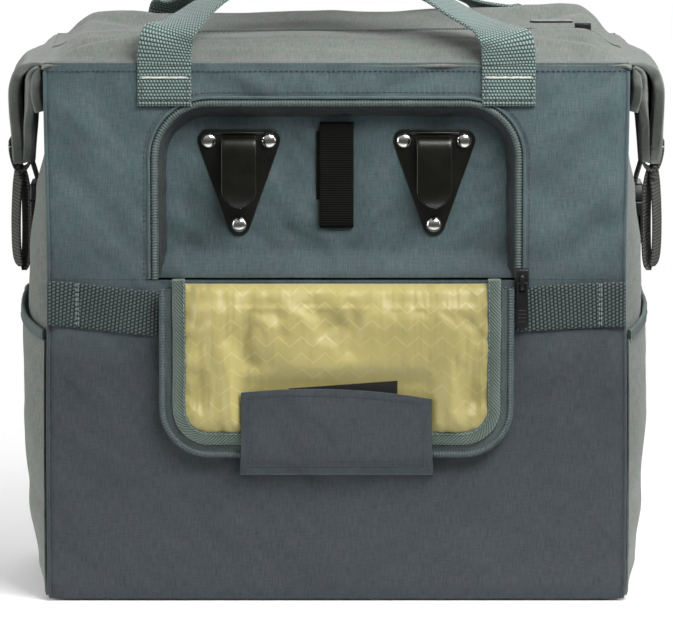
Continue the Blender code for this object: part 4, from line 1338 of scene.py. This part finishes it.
def make_top_zip(name, sign):
    body = f"top_{name}"
    xs = np.linspace(-0.166, 0.166, 180)
    z = top_height(xs, 0.0)
    line = spots(xs, sign * 0.0046, z - 0.0009)
    tape = strap(f"top_zip_tape_{name}", line, UP, 0.0088, 0.0006, step=0.003)
    finish(tape, "tape", body, f"top_zip_{name}")
    line = spots(xs, sign * 0.0016, z - 0.0001)
    coil = beads(f"top_zip_coil_{name}", line, UP, 0.0017, 0.0028, 0.00058, across=pi / 2, lift=0.0)
    finish(coil, "coil", body)
    edge = spots(xs, sign * 0.0100, z + 0.0001)
    rows = beads(f"top_zip_stitching_{name}", edge, UP, 0.0030, 0.0021, 0.00032)
    finish(rows, "teal_thread", body)


LOOP_TWIST = radians(17)


def make_ears():
    """The folded ends: two soft plies that gather into the webbing at their tip."""
    outer = rail([(0.1732, 0.3262), (0.1830, 0.3240), (0.1903, 0.3185), (0.1938, 0.3090), (0.1944, 0.2960),
                  (0.1944, 0.2820), (0.1944, 0.2680), (0.1940, 0.2570)], 6)
    inner = rail([(0.1775, 0.3242), (0.1830, 0.3195), (0.1858, 0.3095), (0.1864, 0.2960), (0.1868, 0.2820),
                  (0.1878, 0.2690), (0.1888, 0.2580)], 6)
    lobe = rail([(0.1768, 0.3238), (0.1786, 0.3190), (0.1798, 0.3110), (0.1796, 0.3020), (0.1780, 0.2950)], 6)
    for name, side in (("left", -1), ("right", 1)):
        plies = []
        for key, spine, thick in (("outer", outer, 0.0082), ("inner", inner, 0.0072), ("lobe", lobe, 0.0076)):
            plies.append(ear_ply(key, spine, thick, side, key == "inner"))
        ear = join(f"folded_end_{name}", plies)
        ear.data.shade_smooth()
        finish(ear, "khaki", f"ear_{name}", f"ear_{name}")
        make_ear_webbing(name, side)


EAR_REACH = {
    "outer": [(0, 0.0785), (0.12, 0.0700), (0.30, 0.0560), (1, 0.0110)],
    "inner": [(0, 0.0785), (0.12, 0.0720), (0.30, 0.0600), (1, 0.0110)],
    "lobe": [(0, 0.0780), (0.30, 0.0760), (1, 0.0600)],
}


def ear_ply(name, spine, thick, side, is_inner):
    """A tapering ply with thick rolled edges; its cross-section runs from near to far edge."""
    rows = len(spine)
    share = measure(spine) / measure(spine)[-1]
    reach = curve(EAR_REACH[name], share)
    count = 34
    around = np.linspace(0, 2 * pi, 2 * count + 1)[:-1]
    tangent = unit(np.gradient(spine, axis=0))
    normal = spots(-tangent[:, 1], tangent[:, 0])
    verts, uv = [], []
    for i in range(rows):
        t = share[i]
        half = thick / 2 * (0.30 + 0.70 * float(ease(0.0, 0.22, t)))
        flare = 0.0035 * float(ease(0.05, 0.25, t)) * (1 - float(ease(0.35, 0.7, t)))
        droop = 0.0050 * float(ease(0.02, 0.12, t)) * (1 - float(ease(0.3, 0.7, t)))
        for a in around:
            across = np.sign(cos(a)) * abs(cos(a)) ** 0.55
            bulge = np.sign(sin(a)) * abs(sin(a)) ** 0.30
            y = reach[i] * across
            web = 0.75 + 0.25 * abs(across) ** 4
            off = half * bulge * web
            pleat = 0.0016 * t * sin(across * 9 + (2.0 if is_inner else 0.0)) * (1 - across**4)
            sag = 0.0012 * noise.noise(Vector((y * 30, spine[i][1] * 22, side * 3.0 + is_inner)))
            shift = off + pleat + sag * (1 - across**4)
            if is_inner:
                shift += flare * abs(across) ** 6
            px, pz = spine[i] - normal[i] * shift
            pz -= droop * float(ease(0.0, 0.065, y))
            verts.append((side * px, y, pz))
            uv.append((y + (0.2 if sin(a) < 0 else 0.0), share[i] * 0.085))
    return mesh_object(name, verts, tube_faces(rows, len(around)), uv, sharp=1.4)


def make_ear_webbing(name, side):
    """Webbing that grips the tip, hangs in a loop and reaches down to the buckle."""
    bands_of_webbing = {
        "grip": ([(0.1992, 0, 0.2710), (0.1990, 0, 0.2640), (0.1972, 0, 0.2565), (0.1948, 0, 0.2528),
                  (0.1905, 0, 0.2530), (0.1872, 0, 0.2575), (0.1862, 0, 0.2640), (0.1864, 0, 0.2705)],
                 0.0, 0.0215, 0.0016, 0.0012),
        "loop": ([(0.1932, 0.0006, 0.2548), (0.1915, 0.0006, 0.2490), (0.1902, 0.0004, 0.2400),
                  (0.1898, 0, 0.2200), (0.1902, 0, 0.2020), (0.1916, 0, 0.1936), (0.1942, 0, 0.1932),
                  (0.1960, 0, 0.2010), (0.1964, 0, 0.2200), (0.1955, 0, 0.2400),
                  (0.1945, 0.0006, 0.2490), (0.1934, 0.0006, 0.2546)], LOOP_TWIST, 0.0200, 0.0016, 0.0012),
        "knot": ([(0.1950, 0, 0.2560), (0.1938, 0, 0.2520), (0.1932, 0, 0.2480)], 0.0, 0.0206, 0.0044, 0.0010),
        "strand": ([(0.1868, 0, 0.2600), (0.1852, 0, 0.2545), (0.1836, 0, 0.2490), (0.1828, 0, 0.2448)],
                   0.0, 0.0200, 0.0014, 0.0012),
    }
    parts = []
    for part, (points, twist, width, thickness, step) in bands_of_webbing.items():
        line = rail(np.array(points) * (side, 1, 1))
        normals = facing(line, (side * sin(twist), cos(twist), 0))
        parts.append(strap(part, line, normals, width, thickness, step=step))
    finish(join(f"end_webbing_{name}", parts), "dark_webbing", f"ear_{name}", f"ear_webbing_{name}")
    rows = []
    for x, out in ((0.2001, side), (0.1854, -side)):
        line = spots(side * x, np.linspace(-0.009, 0.009, 10), 0.2675)
        rows.append(beads("row", line, (out, 0, 0), 0.0026, 0.0020, 0.00034))
    edge = spots(side * np.array((0.1872, 0.1900, 0.1950, 0.1990)), -0.0108, 0.2675)
    rows.append(beads("row", edge, OUT, 0.0022, 0.0016, 0.00034))
    finish(join(f"end_sewing_{name}", rows), "pale_thread", f"ear_{name}")
    make_buckle(name, side)


def make_buckle(name, side):
    """A side-release buckle: waisted plug with sprung arms, and a socket with side windows."""
    low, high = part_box(f"buckle_socket_{name}")
    socket = plate("shell", [(-0.0155, high.z), (-0.0150, 0.2120), (-0.0125, low.z), (0.0125, low.z),
                                (0.0150, 0.2120), (0.0155, high.z)], "X", low.x, high.x, 0.0012)
    hollow = block("tool", (low.x + 0.0016, -0.0139, 0.2130), (high.x - 0.0016, 0.0139, 0.2400))
    window = block("tool", (low.x + 0.0016, -0.02, 0.2160), (high.x - 0.0016, 0.02, 0.2260))
    cut(socket, hollow, window)
    smooth(socket)
    socket.name = f"buckle_shell_{name}"
    finish(socket, "plastic", "root", f"buckle_socket_{name}")
    low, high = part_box(f"buckle_plug_{name}")
    collar = plate("collar", [(-0.0155, 0.2350), (-0.0145, 0.2400), (-0.0125, high.z), (0.0125, high.z),
                                 (0.0145, 0.2400), (0.0155, 0.2350)], "X", low.x, high.x, 0.0012)
    parts = [collar]
    for s in (-1, 1):
        arm = [(s * 0.0086, 0.2360), (s * 0.0086, 0.2190), (s * 0.0098, 0.2150), (s * 0.0118, 0.2150),
               (s * 0.0134, 0.2200), (s * 0.0130, 0.2280), (s * 0.0122, 0.2360)]
        parts.append(plate("arm", arm, "X", low.x + 0.0021, high.x - 0.0021, 0.0005))
    finish(join(f"buckle_prongs_{name}", parts), "plastic", f"ear_{name}", f"buckle_plug_{name}")
    low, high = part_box(f"gusset_strap_{name}")
    x = (low.x + high.x) / 2
    path = [(x, 0, z) for z in np.linspace(low.z, high.z, 20)]
    stub = strap(f"buckle_strap_{name}", path, (side, 0, 0), high.y - low.y - 0.0005, high.x - low.x - 0.0002)
    finish(stub, "band", "root", f"gusset_strap_{name}")


# Side pockets

POCKET_HALF = 0.0758


def pocket_face(side, y, z):
    y, z = matched(y, z)
    across = np.clip(np.abs(y) / POCKET_HALF, 0, 1)
    full = [(0.004, 0.0004), (0.020, 0.0060), (0.055, 0.0115),
            (0.110, 0.0150), (0.160, 0.0156), (0.180, 0.0152)]
    swell = curve(full, z) * (1 - across**5) * (1.0 if side < 0 else 0.82)
    slack = 0.0016 * rough(y + side, z, 0.034, 7.4) + 0.0007 * rough(y, z + side, 0.014, 3.6)
    own = panel_half(z) + 0.0024 + swell + slack * (1 - across**4) * ease(0.004, 0.02, z)
    return np.maximum(own, gusset_face(side, y, z) + 0.0016)


def pocket_top(y, top):
    """Height of the pocket's mouth, which droops towards the corners of the bag."""
    return top - 0.0120 * np.clip(np.abs(y) / POCKET_HALF, 0, 1) ** 2.6


def make_pockets():
    for name, side in (("left", -1), ("right", 1)):
        ys = POCKET_HALF * np.sin(np.linspace(-pi / 2, pi / 2, 61))
        low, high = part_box(f"side_pocket_{name}")
        y, share = grid_of(ys, np.linspace(0, 1, 62))
        z = 0.0022 + (pocket_top(y, high.z + 0.0012) - 0.0022) * share**1.3
        points = spots(side * pocket_face(side, y, z), y, z)
        pocket = skin(f"pocket_cloth_{name}", points, CLOTH, uv=(1, 2), flip=side < 0)
        finish(pocket, "khaki", "root", f"side_pocket_{name}")
        low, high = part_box(f"pocket_hem_{name}")
        mouth = pocket_top(ys, (low.z + high.z) / 2)
        path = spots(side * (pocket_face(side, ys, mouth) + 0.0001), ys, mouth)
        hem = strap(f"pocket_hem_tape_{name}", path, (side, 0, 0), 0.0085, 0.0026)
        finish(hem, "hem", "root", f"pocket_hem_{name}")
        rows = path + np.array((side * 0.0013, 0, -0.0024))
        sewing = beads(f"hem_stitching_{name}", rows, (side, 0, 0), 0.0028, 0.0020, 0.00030)
        finish(sewing, "teal_thread", "root")


def make_interior():
    """The loose inner bag: an open box with soft corners that stays inside the walls."""
    low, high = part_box("interior_lining")
    step_z = 0.190
    levels = np.concatenate([np.linspace(low.z + 0.001, step_z, 40), np.linspace(step_z + 0.003, high.z, 30)])
    angles = np.linspace(0, 2 * pi, 161)[:-1]
    half_x = high.x - 0.0006
    rows = []
    for z in levels:
        inset = 0.010 * exp(-(z - low.z) / 0.006) + 0.0070 * float(ease(0.225, 0.290, z))
        back = -0.0740 + 0.0190 * float(ease(step_z - 0.004, step_z + 0.004, z))
        front = high.y - 0.0006
        mid, half_y = (front + back) / 2, (front - back) / 2
        c, s = np.cos(angles), np.sin(angles)
        x = (half_x - inset) * np.sign(c) * np.abs(c) ** 0.16
        y = mid + (half_y - inset) * np.sign(s) * np.abs(s) ** 0.16
        pull = 0.0012 * (1 + rough(angles * 0.05, z, 0.012, 5.2))
        x, y = x * (1 - pull / 0.17), mid + (y - mid) * (1 - pull / half_y)
        rows.append(spots(x, y, z))
    grid = np.array(rows)
    wall = closed_loft("inner_bag", grid)
    finish(wall, "inner", "root", "interior_lining")


def closed_loft(name, grid):
    """An open-topped bag from rings of points, with a floor and a real thickness."""
    thickness = 0.0006
    rows, ring = grid.shape[:2]
    middle = grid.mean(1, keepdims=True)
    inner = grid + unit((middle - grid) * np.array((1, 1, 0))) * thickness
    inner[0, :, 2] += thickness
    verts = np.vstack([grid.reshape(-1, 3), inner.reshape(-1, 3)])
    along = measure(np.vstack([grid[-1], grid[-1][:1]]))[:-1]
    uv = spots(np.broadcast_to(along, (rows, ring)), grid[..., 2]).reshape(-1, 2)
    half = rows * ring
    faces = bands(rows, ring) + [face[::-1] for face in bands(rows, ring, half)]
    faces += [tuple(range(ring))[::-1], tuple(range(half, half + ring))]
    after = [*range(1, ring), 0]
    top = half - ring
    faces += [(top + k, top + m, half + top + m, half + top + k) for k, m in enumerate(after)]
    return mesh_object(name, verts, faces, np.vstack([uv, uv]), sharp=1.2)


# Zip slider and its pull

def make_slider():
    low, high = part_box("zip_slider")
    pull_low, pull_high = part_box("zip_pull")
    x0 = (low.x + high.x) / 2
    face = -0.0850
    body = block("slider_body", (low.x, face, low.z), (high.x, -0.0828, high.z), 0.0011)
    foot = block("slider_foot", (low.x, -0.0835, low.z + 0.006), (high.x, high.y, high.z), 0.0004)
    arch_line = rail([
        (x0, face + 0.0004, low.z + 0.0095), (x0, face - 0.0028, low.z + 0.0098),
        (x0, low.y + 0.0004, low.z + 0.0080), (x0, low.y + 0.0004, low.z + 0.0030),
        (x0, face - 0.0026, low.z + 0.0008), (x0, face + 0.0004, low.z + 0.0012),
    ])
    bridge = strap("bridge", arch_line, facing(arch_line), 0.0022, 0.0009, step=0.0006)
    finish(join("window_slider", [body, foot, bridge]), "plastic", "zip_slider", "zip_slider")
    middle, radius = (pull_low.x + pull_high.x) / 2, (pull_high.x - pull_low.x) / 2
    outline = [(a, b) for b, a in tab_outline(pull_high.z, pull_low.z, middle, radius)]
    tab = plate("pull_tab", outline, "Y", pull_low.y, pull_high.y, 0.0003)
    eye = block("tool", (x0 - 0.0018, pull_low.y - 0.002, 0.1896), (x0 + 0.0018, pull_high.y + 0.002, 0.1948))
    cut(tab, eye)
    smooth(tab)
    ridge_lines = []
    for k in range(4):
        z = pull_low.z + 0.0045 + 0.0022 * k
        line = spots(np.linspace(middle - 0.0024, middle + 0.0024, 6), pull_low.y, z)
        ridge_lines.append(sweep("grip", line, OUT, round_section(0.00035, 8)))
    finish(join("window_pull", [tab] + ridge_lines), "plastic", "zip_pull", "zip_pull")


def dress_boards():
    for node in ("base_board", "back_board", "hook_board"):
        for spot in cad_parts[node].material_slots:
            spot.material = MAT["board"]


# Studio

CAMERA_DISTANCE = 3.20
CAMERA_RISE = radians(9.3)
VIEW_WIDTH = 0.4035
TARGET = Vector((0, BACK_Y, 0.1765))
FLOOR_Z = -0.0005


def make_camera():
    camera = placed("camera", bpy.data.cameras.new("camera"))
    back = Vector((0, -cos(CAMERA_RISE), sin(CAMERA_RISE)))
    camera.location = TARGET + back * CAMERA_DISTANCE
    camera.rotation_euler = (-back).to_track_quat("-Z", "Y").to_euler()
    camera.data.sensor_width = 36
    camera.data.lens = 36 * CAMERA_DISTANCE / VIEW_WIDTH
    bpy.context.scene.camera = camera


def area_light(name, place, size, power):
    light = bpy.data.lights.new(name, "AREA")
    light.shape = "RECTANGLE"
    light.size, light.size_y = size
    light.energy = power
    obj = placed(name, light)
    obj.location = place
    aim = Vector((0, 0, 0.2)) - Vector(place)
    obj.rotation_euler = aim.to_track_quat("-Z", "Y").to_euler()


def make_studio():
    """A pale round floor that fades out, an overhead softbox and side fills in a dim room."""
    rings, turns, reach = 24, 48, 1.4
    verts = [(0, 0, FLOOR_Z)]
    for i in range(1, rings + 1):
        radius = reach * i / rings
        spokes = (2 * pi * k / turns for k in range(turns))
        verts += [(radius * cos(a), radius * sin(a), FLOOR_Z) for a in spokes]
    faces = [(0, 1 + k, 1 + (k + 1) % turns) for k in range(turns)] + bands(rings, turns, 1)
    floor = mesh_object("studio_floor", verts, faces)
    floor.data.materials.append(floor_paint("pale_floor"))
    make_world()
    area_light("key", (0.42, -0.62, 0.94), (0.70, 0.40), 13.0)
    area_light("top", (0.2, 0.25, 1.5), (1.2, 0.9), 2.6)
    area_light("right", (1.25, -0.25, 0.60), (0.7, 0.9), 4.8)
    area_light("left", (-1.25, -0.25, 0.40), (0.7, 0.9), 10.5)
    area_light("behind", (0.3, 1.30, 0.80), (0.9, 0.7), 5.0)
    bpy.context.scene.view_settings.view_transform = "Standard"
    bpy.context.scene.view_settings.look = "None"


def make_world():
    """White behind the bag; to everything it lights, bright overhead and dim at the sides."""
    world = bpy.data.worlds.new("studio")
    bpy.context.scene.world = world
    world.use_nodes = True
    nodes, link = world.node_tree.nodes, world.node_tree.links.new
    room = nodes["Background"]
    coords, split, rise, white, seen, mix = (nodes.new(f"ShaderNode{kind}") for kind in (
        "TexCoord", "SeparateXYZ", "MapRange", "Background", "LightPath", "MixShader"))
    for socket, value in zip(rise.inputs[1:5], (0.02, 0.80, 0.09, 0.54)):
        socket.default_value = value
    for background in (room, white):
        background.inputs[0].default_value = (1, 1, 1, 1)
    for output, socket in (
        (coords.outputs["Generated"], split.inputs[0]), (split.outputs[2], rise.inputs[0]),
        (rise.outputs[0], room.inputs[1]), (seen.outputs["Is Camera Ray"], mix.inputs[0]),
        (room.outputs[0], mix.inputs[1]), (white.outputs[0], mix.inputs[2]),
        (mix.outputs[0], nodes["World Output"].inputs[0]),
    ):
        link(output, socket)


def main():
    make_camera()
    make_studio()
    make_walls()
    make_window()
    make_hooks()
    make_centre_loop()
    make_flap()
    make_keeper()
    make_band()
    make_slider()
    make_top()
    make_handles()
    make_ears()
    make_pockets()
    make_interior()
    dress_boards()


main()
